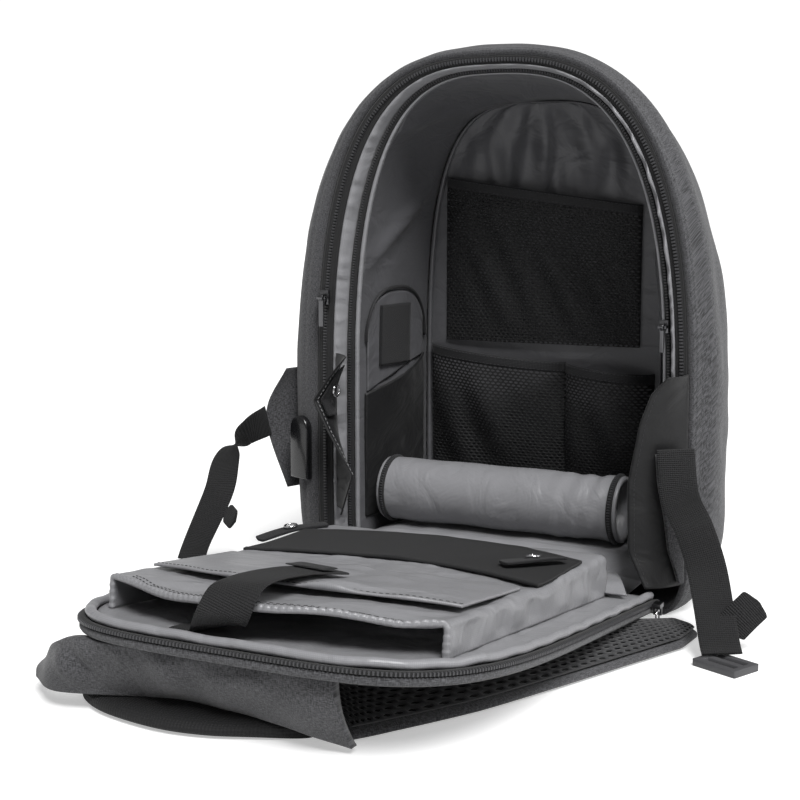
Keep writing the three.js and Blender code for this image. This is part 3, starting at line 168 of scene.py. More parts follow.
# Shell: the bag's padded outer body. Heather polyester lies over 5 mm of foam, and the cloth is turned in
# round the opening, where the zip is sewn to it. It stands on its flat base.
SHELL_HALF_WIDTH = 186
SHELL_HEIGHT = 436
SHELL_DEPTH = 152
SHELL_WALL = 5
WIDEST_HEIGHT = 140
FOOT_REACH = 148
SEAM_LEFT = 157
SEAM_RIGHT = 167
SEAM_TOP = 428
GAP = 0.4
CLOTH = 1.6
SHELL_SWELLING = 1.3
SHELL_WRINKLES = 0.35
SWELLING_DOWN = 1.2  # the swelling goes inwards by this much, so that it stays within the shell's size
CALM_FOOT = 26  # the cloth lies smooth this near the base, and at the lip
CALM_LIP = (3, 22)
LIP_ROLL = 1.6
SEAM_GROOVE = 1.1
SEAM_AT = 0.45  # the groove's place and width, as shares of the turned edge
SEAM_WIDTH = 0.12
SHELL_STEPS = 52
SHELL_SIDES = 240
LIP_STEPS = 9
INSIDE_RINGS = (0.0, 0.29, 0.57, 0.71, 0.86, 1.0)  # where the hidden inner face has its rings
FLECK_LENGTH = 5  # a fleck's length over its width
CLOUD_SHARE = 0.12  # how much the dye varies over a palm's width
FLECK_TONES = (0.86, 1.28)  # the two noises' sum at the darkest and the lightest yarn


def full_turn(steps):
    """Evenly spaced angles once round a circle."""
    return np.linspace(0, 2 * math.pi, steps, endpoint=False)


def share_grid(rows, columns):
    """Two grids of shares from 0 to 1, one along the rows and one along the columns."""
    return np.meshgrid(np.linspace(0, 1, rows), np.linspace(0, 1, columns), indexing="ij")


def between(low, high, share):
    """A value a share of the way from one value to another."""
    return low + (high - low) * share


def eased(share):
    """A share from 0 to 1 that starts and ends gently."""
    return share * share * (3 - 2 * share)


def unit(ways):
    """Directions made 1 long."""
    return ways / np.linalg.norm(ways, axis=-1, keepdims=True)


def square_to(run, ways):
    """Directions of length 1 across a run, from ones that lean along it."""
    return unit(ways - run * np.einsum("ij,ij->i", ways, run)[:, None])


def distances(path):
    """The distance run along a path at each of its points."""
    return np.concatenate([[0], np.cumsum(np.linalg.norm(np.diff(path, axis=0), axis=1))])


def superellipse(angle, power):
    """Points of a superellipse of half width 1 and height 1, by polar angle."""
    c, s = np.cos(angle), np.sin(angle)
    reach = (np.abs(c) ** power + np.abs(s) ** power) ** (-1 / power)
    return c * reach, s * reach


def curve_through(values, shares):
    """Catmull-Rom curve through evenly spaced rows of values, read at shares from 0 to 1."""
    values = np.asarray(values, float)
    padded = np.vstack([2 * values[0] - values[1], values, 2 * values[-1] - values[-2]])
    place = np.clip(shares, 0, 1) * (len(values) - 1)
    row = np.minimum(place.astype(int), len(values) - 2)
    t = (place - row)[:, None]
    a, b, c, d = (padded[row + k] for k in range(4))
    return b + 0.5 * t * (c - a + t * (2 * a - 5 * b + 4 * c - d + t * (3 * (b - c) + d - a)))


def ripples(u, v, size, seed, waves=9):
    """Soft unevenness of about -1 to 1: a sum of sine waves. size is about their wavelength in the units of u
    and v, and the seed fixes their directions, so that each piece has its own."""
    random = np.random.default_rng(seed)
    total = 0
    for _ in range(waves):
        turn, phase = random.uniform(0, 2 * math.pi, 2)
        length = size * random.uniform(0.7, 1.5)
        total = total + np.sin(2 * math.pi * (u * math.cos(turn) + v * math.sin(turn)) / length + phase)
    return total / waves ** 0.5


def fold(u, v, start, end, width):
    """A crease from start to end: 1 on the line between them, fading as a bell over its width."""
    start, run = np.asarray(start, float), np.subtract(end, start).astype(float)
    share = np.clip(((u - start[0]) * run[0] + (v - start[1]) * run[1]) / (run @ run), 0, 1)
    off = (u - start[0] - share * run[0]) ** 2 + (v - start[1] - share * run[1]) ** 2
    return np.exp(-off / width ** 2) * np.sin(math.pi * np.clip(share, 0.04, 0.96)) ** 0.5


def normals_of(grid):
    """Unit normals of a grid of points, from the cross product of its two runs."""
    normal = np.cross(np.gradient(grid, axis=0), np.gradient(grid, axis=1))
    return normal / np.maximum(np.linalg.norm(normal, axis=2, keepdims=True), 1e-9)


def grid_faces(rows, columns, wrap_rows=False, wrap_columns=False):
    """The four-sided faces of a grid, numbered row by row, closed on itself in either direction if asked."""
    i = np.arange(rows if wrap_rows else rows - 1)[:, None]
    j = np.arange(columns if wrap_columns else columns - 1)[None, :]
    down, right = (i + 1) % rows, (j + 1) % columns
    corners = [i * columns + j, down * columns + j, down * columns + right, i * columns + right]
    return np.stack(corners, -1).reshape(-1, 4)


def lengths(grid):
    """The cloth's own coordinates on a grid: distance run along its middle column and its middle row."""
    rows, columns = grid.shape[:2]
    down, right = distances(grid[:, columns // 2]), distances(grid[rows // 2])
    return np.stack(np.broadcast_arrays(down[:, None], right[None, :]), -1).astype(float)


def make_piece(name, points, faces, material, uv=None, turn=None, smooth=True):
    """A mesh object from points in millimetres, with faces turned outwards. The UV map named cloth is in
    millimetres of cloth; turn is the length after which its second coordinate starts again."""
    points = np.asarray(points, float).reshape(-1, 3)
    groups = [np.asarray(group) for group in faces]
    volume = 0
    for group in groups:
        a = points[group[:, 0]]
        for k in range(1, group.shape[1] - 1):
            b, c = points[group[:, k]], points[group[:, k + 1]]
            volume += np.einsum("ij,ij->i", a, np.cross(b, c)).sum()
    if volume < 0:
        groups = [group[:, ::-1] for group in groups]
    mesh = bpy.data.meshes.new(name)
    mesh.from_pydata((points * MM).tolist(), [], [face for group in groups for face in group.tolist()])
    mesh.polygons.foreach_set("use_smooth", np.full(len(mesh.polygons), smooth))
    if uv is not None:
        corners = np.concatenate([wrapped(uv.reshape(-1, 2)[group], turn) for group in groups])
        layer = mesh.uv_layers.new(name="cloth")
        layer.data.foreach_set("uv", corners.ravel())
    mesh.materials.append(material)
    mesh.update()
    piece = bpy.data.objects.new(name, mesh)
    bpy.context.scene.collection.objects.link(piece)
    return piece


def wrapped(corners, turn):
    """Face corners' UVs with the second coordinate carried on over the line where it starts again."""
    if turn is not None:
        across = corners[:, :, 1]
        low = across.min(1, keepdims=True)
        broken = across.max(1, keepdims=True) - low > turn / 2
        corners[:, :, 1] = across + np.where(broken & (across < low + turn / 2), turn, 0)
    return corners.reshape(-1, 2)


def closed_sheet(name, face, back, material):
    """A cloth wall: a grid of points for its face, one for its back, and a border that joins them."""
    rows, columns = face.shape[:2]
    count = rows * columns
    top = grid_faces(rows, columns)
    number = np.arange(count).reshape(rows, columns)
    ring = np.concatenate([number[0, :-1], number[:-1, -1], number[-1, :0:-1], number[:0:-1, 0]])
    after = np.roll(ring, -1)
    border = np.stack([after, ring, ring + count, after + count], -1)
    points = np.concatenate([face.reshape(-1, 3), back.reshape(-1, 3)])
    uv = lengths(face)
    faces = [np.concatenate([top, top[:, ::-1] + count, border[:, ::-1]])]
    piece = make_piece(name, points, faces, material, np.concatenate([uv, uv]))
    return piece


def loft(name, rings, material, closed=False, smooth=True):
    """A body through rings of points, each ring closed on itself, with its two ends closed by a fan."""
    rings = np.asarray(rings, float)
    count, sides = rings.shape[:2]
    faces = [grid_faces(count, sides, closed, True)]
    points, uv = rings.reshape(-1, 3), lengths(rings)
    turn = np.linalg.norm(rings[count // 2] - np.roll(rings[count // 2], 1, axis=0), axis=1).sum()
    uv = uv.reshape(-1, 2)
    if not closed:
        middles = rings[[0, -1]].mean(1)
        points = np.concatenate([points, middles])
        uv = np.concatenate([uv, uv[[0, -1]]])
        a = np.arange(sides)
        b = (a + 1) % sides
        first = np.stack([b, a, np.full(sides, count * sides)], -1)
        last = np.stack([a, b, np.full(sides, count * sides + 1)], -1)
        last[:, :2] += (count - 1) * sides
        # The grid's faces run the same way round as the fan at the first ring.
        faces.append(np.concatenate([first[:, ::-1], last[:, ::-1]]))
    return make_piece(name, points, faces, material, uv, turn, smooth)


def lay_cloth(piece, plan):
    """Lays a piece's cloth by a plan of x, y and z in millimetres, instead of by the runs along its grid."""
    place = np.empty(len(piece.data.vertices) * 3)
    piece.data.vertices.foreach_get("co", place)
    loops = np.empty(len(piece.data.loops), int)
    piece.data.loops.foreach_get("vertex_index", loops)
    laid = np.stack(plan(*(place.reshape(-1, 3)[loops].T / MM)), -1)
    piece.data.uv_layers["cloth"].data.foreach_set("uv", laid.ravel())


def hand_over(piece, body, slot, *nodes):
    """Says which body a piece rides on and which solids it stands for. slot, the finish that it has, is not
    used.
    """
    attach(piece, body)
    if nodes:
        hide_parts(*nodes)
    return piece


def cloth_coordinates(tree, across, along):
    """The cloth's own coordinates, divided by a thread spacing in millimetres each way."""
    place = add_node(tree, "ShaderNodeUVMap", uv_map="cloth")
    scale = (1 / across, 1 / along, 1)
    return add_node(tree, "ShaderNodeMapping", {"Vector": place.outputs["UV"], "Scale": scale}).outputs[0]


def heather_cloth(name, dark, light, thread=0.6):
    """Heather polyester: woven from dyed and undyed yarns, so it is matt, with short light flecks both ways.
    The real yarns are 0.3 mm wide; they are drawn twice as wide, or a render would lose them."""
    material, tree, shader = new_material(name, {
        "Roughness": 0.92, "Sheen Weight": 0.15, "Sheen Roughness": 0.6})
    flecks = []
    for across, along in ((thread, FLECK_LENGTH * thread), (FLECK_LENGTH * thread, thread)):
        place = cloth_coordinates(tree, across, along)
        flecks.append(add_node(tree, "ShaderNodeTexNoise", {"Vector": place, "Scale": 1.0, "Detail": 2.0}))
    both = maths(tree, "ADD", flecks[0].outputs["Fac"], flecks[1].outputs["Fac"])
    cloudy = add_node(tree, "ShaderNodeTexNoise", {
        "Vector": cloth_coordinates(tree, 60, 90), "Scale": 1.0, "Detail": 1.0})
    tone = maths(tree, "MULTIPLY", cloudy.outputs["Fac"], CLOUD_SHARE)
    ramp = add_node(tree, "ShaderNodeMapRange", {
        "Value": maths(tree, "ADD", both, tone), "From Min": FLECK_TONES[0], "From Max": FLECK_TONES[1]})
    blended(tree, shader, ramp.outputs[0], linear(dark), linear(light))
    bumped(tree, shader, 0.5, 0.3, both)
    return material


heather = heather_cloth("heather_polyester", "1b1b1d", "535356")

# Rings from the seam to the front: depth, insets at the side and the top and the foot's rise as shares of the
# shell's depth, half width and height, then the powers of the dome's and the lower corners' superellipses.
SHELL_RINGS = np.array([
    (0.035, 0.075, 0.011, 0.0, 2.7, 8),
    (0.12, 0.016, 0.002, 0.0, 2.55, 6.5),
    (0.24, 0.0, 0.0, 0.0, 2.4, 5),
    (0.5, 0.05, 0.022, 0.0, 2.4, 4.5),
    (0.74, 0.13, 0.046, 0.0, 2.4, 4),
    (0.88, 0.25, 0.084, 0.01, 2.4, 4),
    (0.965, 0.42, 0.17, 0.05, 2.4, 3.4),
    (1.0, 0.62, 0.32, 0.13, 2.4, 3),
])
SEAM_ROUNDNESS = 2.8
SEAM_FOOT_ROUNDNESS = 9
TOP_NARROWING = 0.777
RIGHT_NARROWING = 0.65
LINING_LEAN = {"left": 15, "right": 31, "top": 14}
LINING_ROUNDNESS = 3.4


def on_rim(angle, inset, depth, lean=0.0):
    """A place on the opening's edge: polar angle, inset from the seam, depth, share of the lining's lean."""
    dome = SEAM_ROUNDNESS + (LINING_ROUNDNESS - SEAM_ROUNDNESS) * np.asarray(lean, float)
    power = np.where(np.sin(angle) > 0, dome, SEAM_FOOT_ROUNDNESS)
    c, s = superellipse(angle, power)
    inset = np.asarray(inset, float)
    left = SEAM_LEFT - inset - lean * LINING_LEAN["left"]
    right = SEAM_RIGHT - inset * RIGHT_NARROWING - lean * LINING_LEAN["right"]
    top = SEAM_TOP - np.maximum(inset, 0) ** TOP_NARROWING - lean * LINING_LEAN["top"]
    reach = np.where(s > 0, top - WIDEST_HEIGHT, FOOT_REACH)
    x, y, z = np.broadcast_arrays(c * np.where(c > 0, right, left), depth, WIDEST_HEIGHT + s * reach)
    return np.stack([x, y, z], -1)


def shell_rings(shares, angle, wall):
    """Rings of the shell: a superellipse dome over squarer lower corners, cut level at the base."""
    depth, side, top, foot, dome, corner = curve_through(SHELL_RINGS, shares).T[:, :, None]
    side, foot = np.maximum(side, 0), np.maximum(foot, 0)
    c, s = superellipse(angle, np.where(np.sin(angle) > 0, dome, corner))
    high = SHELL_HEIGHT * (1 - top) - wall
    low = SHELL_HEIGHT * foot + wall
    x = c * (SHELL_HALF_WIDTH * (1 - side) - wall)
    z = np.maximum(WIDEST_HEIGHT + s * np.where(s > 0, high - WIDEST_HEIGHT, FOOT_REACH - low), low)
    y = np.broadcast_to(SHELL_DEPTH * depth - wall * depth ** 2, x.shape)
    return np.stack([x, y, z], -1)


around = full_turn(SHELL_SIDES)[None, :]
outside = shell_rings(np.linspace(1, 0, SHELL_STEPS), around, 0)
swell = SHELL_SWELLING * ripples(outside[..., 1] * 1.6, outside[..., 2] * 0.45, 62, 3)
swell += SHELL_WRINKLES * ripples(outside[..., 1], outside[..., 2] + outside[..., 0], 26, 4)
free = np.clip(outside[..., 2] / CALM_FOOT, 0, 1)
free *= np.clip((outside[..., 1] - CALM_LIP[0]) / CALM_LIP[1], 0, 1)
outward = normals_of(outside)
outward *= np.sign((outward[..., :1] * outside[..., :1]).sum())
outside = outside + outward * ((swell - SWELLING_DOWN) * free)[..., None]
# The turned edge: the cloth rolls over from the shell's front lip to the seam, with a stitched groove.
lip = np.linspace(0, 1, LIP_STEPS)[1:, None]
lip_from = outside[-1][None]
seam = on_rim(around, 0, 0.0)
seam[..., 2] = np.maximum(seam[..., 2], 0)
turned = lip_from * (1 - lip[..., None]) + seam * lip[..., None]
groove = SEAM_GROOVE * np.exp(-((lip - SEAM_AT) / SEAM_WIDTH) ** 2)
turned[..., 1] -= LIP_ROLL * np.sin(math.pi * lip) - groove
inner_seam = on_rim(around, SHELL_WALL, 0.0)
inner_seam[..., 2] = np.maximum(inner_seam[..., 2], SHELL_WALL)
inside = shell_rings(np.array(INSIDE_RINGS), around, SHELL_WALL)
rings = np.concatenate([outside, turned, inner_seam, inside])
shell = loft("shell", rings, heather)
# The cloth lies flat over the front and runs on round the sides and the top without a seam.
lay_cloth(shell, lambda x, y, z: (x * (2 - y / SHELL_DEPTH), z + SHELL_DEPTH - y))
hand_over(shell, "bag", "heather", "shell_outer")


# Main zip, the shell's half: black woven tape with a row of moulded coil teeth that stands up from it, sewn
# along the shell's turned edge.
TO_FRONT = (0, -1, 0)
MAIN_TAPE_WIDTH = 14
MAIN_TEETH_SHARE = (0.35, 0.58)
TEETH_HEIGHT = 1.4
TAPE_THICKNESS = 1.6
TRIM_END = math.radians(37.5)
MAIN_TEETH = (2.5, (1.5, 3.2, 1.2))  # pitch, then a tooth's length, width and height
rim_angles = np.linspace(math.pi + TRIM_END, -TRIM_END, 260)


def rim_sweep(section, angles=rim_angles):
    """Rings of a trim round the opening, from its section as rows of inset, depth and lean."""
    inset, depth, lean = (np.array([(*row, 0)[k] for row in section], float)[None, :] for k in range(3))
    return on_rim(angles[:, None], inset, depth, lean)


def even_steps(path, pitch):
    """Points and directions at one spacing along a path of points."""
    path = np.asarray(path, float)
    run = distances(path)
    count = max(int(run[-1] / pitch), 2)
    places = (np.arange(count) + 0.5) * run[-1] / count
    behind, points, ahead = (np.stack([np.interp(places + step, run, path[:, k]) for k in range(3)], -1)
                             for step in (-0.5, 0, 0.5))
    return points, unit(ahead - behind)


def row_of_blocks(name, path, up, pitch, size, material, taper=0.7):
    """Small tapered blocks at one pitch along a path, such as zip teeth or stitches: size is the length
    along the path, the width and the height of a block, and up is the way that it stands."""
    points, along = even_steps(path, pitch)
    up = square_to(along, np.broadcast_to(np.asarray(up, float), points.shape))
    aside = np.cross(along, up)
    signs = np.array([(a, b, c) for c in (0, 1) for a, b in ((-1, -1), (1, -1), (1, 1), (-1, 1))], float)
    width = np.where(signs[:, 2] > 0, taper, 1.0)
    corners = (points[:, None]
               + along[:, None] * (signs[:, 0] * width * size[0] / 2)[:, None]
               + aside[:, None] * (signs[:, 1] * width * size[1] / 2)[:, None]
               + up[:, None] * (signs[:, 2] * size[2])[:, None])
    block = np.array([(0, 3, 2, 1), (4, 5, 6, 7), (0, 1, 5, 4), (1, 2, 6, 5), (2, 3, 7, 6), (3, 0, 4, 7)])
    faces = (block[None] + 8 * np.arange(len(points))[:, None, None]).reshape(-1, 4)
    return make_piece(name, corners, [faces], material, smooth=False)


def thread_bars(tree, thread, distortion):
    """Fine bars both ways across a cloth, as its warp and its weft."""
    place = cloth_coordinates(tree, thread, thread)
    return [add_node(tree, "ShaderNodeTexWave", {"Vector": place, "Scale": 0.31, "Distortion": distortion},
                     bands_direction=way).outputs["Fac"] for way in ("X", "Y")]


def woven_cloth(name, colour, thread, roughness=0.85, relief=0.5, ribs=1.0, sheen=0.1):
    """Plain woven cloth: warp and weft show as fine bars both ways. ribs is the warp's weight against the
    weft's, so a large value gives webbing's ribs. The threads are drawn no finer than a render shows."""
    material, tree, shader = new_material(name, {"Roughness": roughness, "Sheen Weight": sheen})
    warp, weft = thread_bars(tree, thread, 0.6)
    height = maths(tree, "ADD", maths(tree, "MULTIPLY", warp, ribs), weft)
    tone = add_node(tree, "ShaderNodeMapRange", {"Value": height, "From Max": 1 + ribs})
    # The weave's low parts are painted darker, to 0.55 of the colour: painted shade between the threads.
    blended(tree, shader, tone.outputs[0], shade_of(colour, 0.55), linear(colour))
    bumped(tree, shader, relief, 0.25, height)
    return material


zip_tape = woven_cloth("woven_zip_tape", "1b1b1c", 1.2)
moulded_teeth = plain_material("moulded_nylon_teeth", "3c3c3e", 0.35, Specular_IOR_Level=0.6)

main_out = SHELL_WALL + GAP
main_in = main_out + MAIN_TAPE_WIDTH
teeth_out, teeth_in = (main_out + share * MAIN_TAPE_WIDTH for share in MAIN_TEETH_SHARE)
main_tape = loft("main_zip_tape_cloth", rim_sweep([
    (main_out, 0), (main_out + 2, -0.3), (teeth_out - 0.6, -0.1), (teeth_out, -TEETH_HEIGHT * 0.4),
    (teeth_in, -TEETH_HEIGHT * 0.4), (teeth_in + 0.6, 0.3), (main_in - 2, 0.6), (main_in, 0.4),
    (main_in, TAPE_THICKNESS), (main_out, TAPE_THICKNESS),
]), zip_tape)
hand_over(main_tape, "bag", "black_cloth", "main_zip_tape")
main_middle = (teeth_out + teeth_in) / 2
main_row = on_rim(rim_angles, main_middle, -TEETH_HEIGHT * 0.4)
main_teeth = row_of_blocks("main_zip_teeth", main_row, TO_FRONT, *MAIN_TEETH, moulded_teeth)
hand_over(main_teeth, "bag", "zip_metal")


# Trim band: a strip of smooth lining between the two zips, cut long and eased in, so that it puckers.
TRIM_BAND_WIDTH = 8
TRIM_BAND_DEPTH = 9
PUCKER_HEIGHT = 1.7


def nylon_lining(name, colour, roughness=0.45, thread=1.1):
    """Smooth nylon lining: tightly woven and calendered, so it has a soft sheen over faint fine creases and
    a weave of small dots, drawn at 1.1 mm instead of 0.3 mm so that it shows."""
    material, tree, shader = new_material(name, {"Roughness": roughness, "Sheen Weight": 0.08,
                                                 "Specular IOR Level": 0.45})
    warp, weft = thread_bars(tree, thread, 0.3)
    dots = maths(tree, "MULTIPLY", warp, weft)
    creases = add_node(tree, "ShaderNodeTexNoise", {
        "Vector": cloth_coordinates(tree, 22, 34), "Scale": 1.0, "Detail": 3.0, "Distortion": 0.8})
    # Between the weave's dots the colour is painted darker, to 0.84 of it: painted shade between the threads.
    blended(tree, shader, dots, shade_of(colour, 0.84), linear(colour))
    weave = bumped(tree, shader, 0.25, 0.15, dots)
    bumped(tree, shader, 0.6, 4.0, creases.outputs["Fac"], weave)
    return material


lining = nylon_lining("smooth_nylon_lining", "8c8c8f", roughness=0.36)
trim_out = main_in + GAP
trim_in = trim_out + TRIM_BAND_WIDTH
trim_rings = rim_sweep([
    (trim_out, 0), (trim_out + 1.4, -0.5), (trim_out + 3.4, 0.5), (trim_out + 5.4, 3.4), (trim_out + 7, 6.6),
    (trim_in, TRIM_BAND_DEPTH), (trim_in, TRIM_BAND_DEPTH + CLOTH), (trim_out + 4, 2.2 + CLOTH),
    (trim_out, CLOTH),
], np.linspace(math.pi + TRIM_END, -TRIM_END, 620))
pucker_run = distances(trim_rings[:, 2])
pucker = ripples(pucker_run, 0 * pucker_run, 17, 11) + 0.6 * ripples(pucker_run, 0 * pucker_run, 6.5, 12)
across_band = np.array([0, 0.6, 1, 1, 0.5, 0, 0, 0, 0])
trim_rings[..., 1] -= pucker[:, None] * across_band * PUCKER_HEIGHT
trim_band = loft("puckered_trim_band", trim_rings, lining)
hand_over(trim_band, "bag", "lining", "trim_band")


# Inner zip: a narrower zip inside the first, which carries the zip-in divider, now rolled up.
INNER_TAPE_WIDTH = 6
INNER_TEETH = (2.2, (1.3, 2.4, 1.0))
inner_out = trim_in + GAP
inner_in = inner_out + INNER_TAPE_WIDTH
inner_depth = TRIM_BAND_DEPTH + TAPE_THICKNESS + GAP
inner_crest = TRIM_BAND_DEPTH - 0.6
inner_tape = loft("inner_zip_tape_cloth", rim_sweep([
    (inner_out, TRIM_BAND_DEPTH), (inner_out + 1.6, inner_crest), (inner_out + 3.4, inner_crest),
    (inner_in, TRIM_BAND_DEPTH + 0.2), (inner_in, inner_depth), (inner_out, inner_depth),
]), zip_tape)
hand_over(inner_tape, "bag", "black_cloth", "inner_zip_tape")
inner_teeth = row_of_blocks("inner_zip_teeth", on_rim(rim_angles, inner_out + 2.5, inner_crest), TO_FRONT,
                            *INNER_TEETH, moulded_teeth)
hand_over(inner_teeth, "bag", "zip_metal")


# Lining: a side wall piped where it meets the zip and again where it meets the front wall. The front wall
# hangs in soft upright folds above the pockets. Deep in the bag it lies in shade, and the walls there take a
# darker copy of the lining's colour: painted shade.
LINING_PIPE_RADIUS = 2
LINING_FRONT_DEPTH = 118
LINING_FOOT = 30
LINING_FOLD = 6.5
WALL_WAVE = 3.2
WALL_CREASE = 1.6
WALL_FOLDS = [
    {"side": -1, "from": (20, 372), "to": (110, 396), "width": 7},
    {"side": -1, "from": (24, 262), "to": (104, 330), "width": 8},
    {"side": 1, "from": (20, 300), "to": (112, 384), "width": 8},
    {"side": 1, "from": (26, 214), "to": (108, 292), "width": 9},
    {"side": 1, "from": (30, 392), "to": (100, 404), "width": 6},
]


def round_section(inset, depth, radius, lean=0.0, sides=12):
    """A round section for piping, as rows of inset, depth and lean."""
    turn = full_turn(sides)
    return [(inset + radius * math.cos(t), depth + radius * math.sin(t), lean) for t in turn]


lining_inset = inner_in + GAP
edge_piping = loft("piping_at_the_zip", rim_sweep(
    round_section(lining_inset + LINING_PIPE_RADIUS, inner_depth, LINING_PIPE_RADIUS)), lining)
hand_over(edge_piping, "bag", "lining", "lining_edge_piping")

# A darker copy of the lining, 5c5c5f against 8c8c8f: painted shade for the pieces deep in the bag.
painted_shade_lining = nylon_lining("nylon_lining_painted_shade", "5c5c5f", roughness=0.42)
lining_start = inner_depth + 2 * LINING_PIPE_RADIUS
wall_share = np.linspace(0, 1, 40)
wall_inset = lining_inset + CLOTH
wall_angles = np.linspace(math.pi + TRIM_END, -TRIM_END, 320)[:, None]
wall_depth = between(lining_start + GAP, LINING_FRONT_DEPTH, wall_share[None, :])
wall_face = on_rim(wall_angles, wall_inset, wall_depth, wall_share[None, :])
wall_back = on_rim(wall_angles, lining_inset, wall_depth, wall_share[None, :])
wall_run = wall_face[..., 2] + np.abs(wall_face[..., 0])
wall_wave = ripples(wall_depth + 0 * wall_run, wall_run * 0.5, 58, 21) * np.sin(math.pi * wall_share)
for crease in WALL_FOLDS:
    on_its_wall = wall_face[..., 0] * crease["side"] > 0
    depth = wall_depth + 0 * wall_run
    line = fold(depth, wall_face[..., 2], crease["from"], crease["to"], crease["width"])
    wall_wave += WALL_CREASE * np.where(on_its_wall, line, 0)
push = normals_of(wall_face)
push *= np.sign(-(push[..., :1] * wall_face[..., :1]).sum())
wall_face = wall_face + push * np.maximum(WALL_WAVE * wall_wave, -0.6 * CLOTH)[..., None]
side_wall = closed_sheet("lining_side_wall_cloth", wall_face, wall_back, painted_shade_lining)
hand_over(side_wall, "bag", "dark_lining", "lining_side_wall")


def lining_x(side, height, depth):
    """Where the lining's inner face stands at a height and a depth: x on the left, -1, or the right, 1."""
    lean = np.clip((depth - lining_start) / (LINING_FRONT_DEPTH - lining_start), 0, 1)
    top = SEAM_TOP - wall_inset ** TOP_NARROWING - lean * LINING_LEAN["top"]
    left = SEAM_LEFT - wall_inset - lean * LINING_LEAN["left"]
    right = SEAM_RIGHT - wall_inset * RIGHT_NARROWING - lean * LINING_LEAN["right"]
    share = np.clip((height - WIDEST_HEIGHT) / (top - WIDEST_HEIGHT), 0, 1)
    dome = SEAM_ROUNDNESS + (LINING_ROUNDNESS - SEAM_ROUNDNESS) * lean
    return np.where(side < 0, -left, right) * (1 - share ** dome) ** (1 / dome)


FOLD_FOOT = 306
FOLD_COUNT = 4.5  # folds across the wall
FOLD_SWAY = 0.9
FOLD_UNEVEN = 0.35
fold_top = SEAM_TOP - wall_inset ** TOP_NARROWING - LINING_LEAN["top"] - 2
v, u = np.meshgrid(1 - (1 - np.linspace(0, 1, 90)) ** 1.6, np.linspace(0, 1, 120), indexing="ij")
front_z = between(LINING_FOOT, fold_top, v)
front_x = between(*(lining_x(side, front_z, LINING_FRONT_DEPTH) for side in (-1, 1)), u)
hang = np.sin(math.pi * np.clip((front_z - FOLD_FOOT) / (fold_top - FOLD_FOOT), 0, 1)) ** 0.7
sway = FOLD_SWAY * ripples(front_x, front_z, 130, 31)
drape = 0.5 + 0.5 * np.cos((2 * u - 1) * FOLD_COUNT * math.pi + sway)
drape += FOLD_UNEVEN * ripples(front_x * 1.6, front_z * 0.5, 34, 32)
front_y = LINING_FRONT_DEPTH + GAP + LINING_FOLD * hang * drape * (1 - (2 * u - 1) ** 4)
front_face = np.stack([front_x, front_y, front_z], -1)
front_back = front_face + (0, CLOTH, 0)
front_wall = closed_sheet("lining_front_wall_cloth", front_face, front_back, painted_shade_lining)
hand_over(front_wall, "bag", "dark_lining", "lining_front_wall")

corner_inset = wall_inset + GAP + LINING_PIPE_RADIUS * 1.6
corner_section = round_section(corner_inset, LINING_FRONT_DEPTH - LINING_PIPE_RADIUS, LINING_PIPE_RADIUS, 1.0)
corner = loft("piping_in_the_corner", rim_sweep(corner_section), painted_shade_lining)
hand_over(corner, "bag", "dark_lining", "corner_piping")


# Padded floor: foam under lining, crowned across and sloping down to the hinge at the opening.
FLOOR_PAD_TOP = 41
FLOOR_PAD_FRONT = -6
FLOOR_PAD_SLOPE = 22
FLOOR_PAD_FOOT = 9.5
FLOOR_PAD_FOOT_SHARE = 0.88  # the foot is narrower than the top
FLOOR_PAD_EDGE = 0.72  # height at the opening, as a share of the top
FLOOR_PAD_CROWN = 0.12  # fall at the sides, as a share
FLOOR_PAD_WAVE = 0.5
pad_margin = 4 * LINING_PIPE_RADIUS + GAP
v, u = share_grid(60, 90)


def floor_face(v, u, foot):
    """The floor pad's top, or its foot: a slope to the front and a crown that falls off at both sides."""
    y = between(FLOOR_PAD_FRONT, LINING_FRONT_DEPTH - GAP, v)
    left, right = lining_x(-1, 0 * y, y) + pad_margin, lining_x(1, 0 * y, y) - pad_margin
    x = between(left, right, u) * (FLOOR_PAD_FOOT_SHARE if foot else 1)
    slope = eased(np.clip((y - FLOOR_PAD_FRONT) / FLOOR_PAD_SLOPE, 0, 1))
    top = FLOOR_PAD_TOP * between(FLOOR_PAD_EDGE, 1, slope) * (1 - FLOOR_PAD_CROWN * np.abs(2 * u - 1) ** 6)
    top = top - FLOOR_PAD_WAVE * (1 + ripples(x, y, 40, 41))
    return np.stack([x, y, np.full_like(x, FLOOR_PAD_FOOT) if foot else top], -1)


floor_cushion = closed_sheet("padded_floor", floor_face(v, u, False), floor_face(v, u, True), lining)
hand_over(floor_cushion, "bag", "lining", "floor_pad")


# Mesh pockets: knitted mesh with long six-sided holes, bound along the mouth with folded black cloth and sewn
# down at the foot, the sides and the lower pocket's divider. It bellies off the wall and hangs in folds.
NET = 0.7
NET_PITCH = (4.4, 3.0)  # the real holes lie about 2.7 by 1.7 mm apart, drawn larger so that they show
BINDING_HEIGHT = 9
BINDING_THICKNESS = 2.6
POCKET_SIDE_MARGIN = 7.4
POCKET_SWAY = 2.6
POCKET_FOOT_BELLY = 0.25  # the belly at the foot, as a share of the mouth's
BINDING_GRID = (90, 20)
BINDING_ROWS = {"top": 3.0, "foot": -3.0}  # the rows of stitches, from the binding's middle
THREAD_RISE = 0.35
BINDING_STITCH = (2.2, 3.4)  # a stitch's length and pitch
HEM_STITCH = (2.6, 4.2)
TABLET_STITCH = (2.6, 4.0)
GUSSET_STITCH = (2.4, 3.8)
POCKETS = [
    {"name": "upper", "foot": 192, "left": 330, "right": 306, "belly": 14, "cells": (0, 1), "seed": 51},
    {"name": "lower", "foot": 52, "left": 184, "right": 166, "belly": 27, "cells": (0, 0.62, 1), "seed": 52},
]


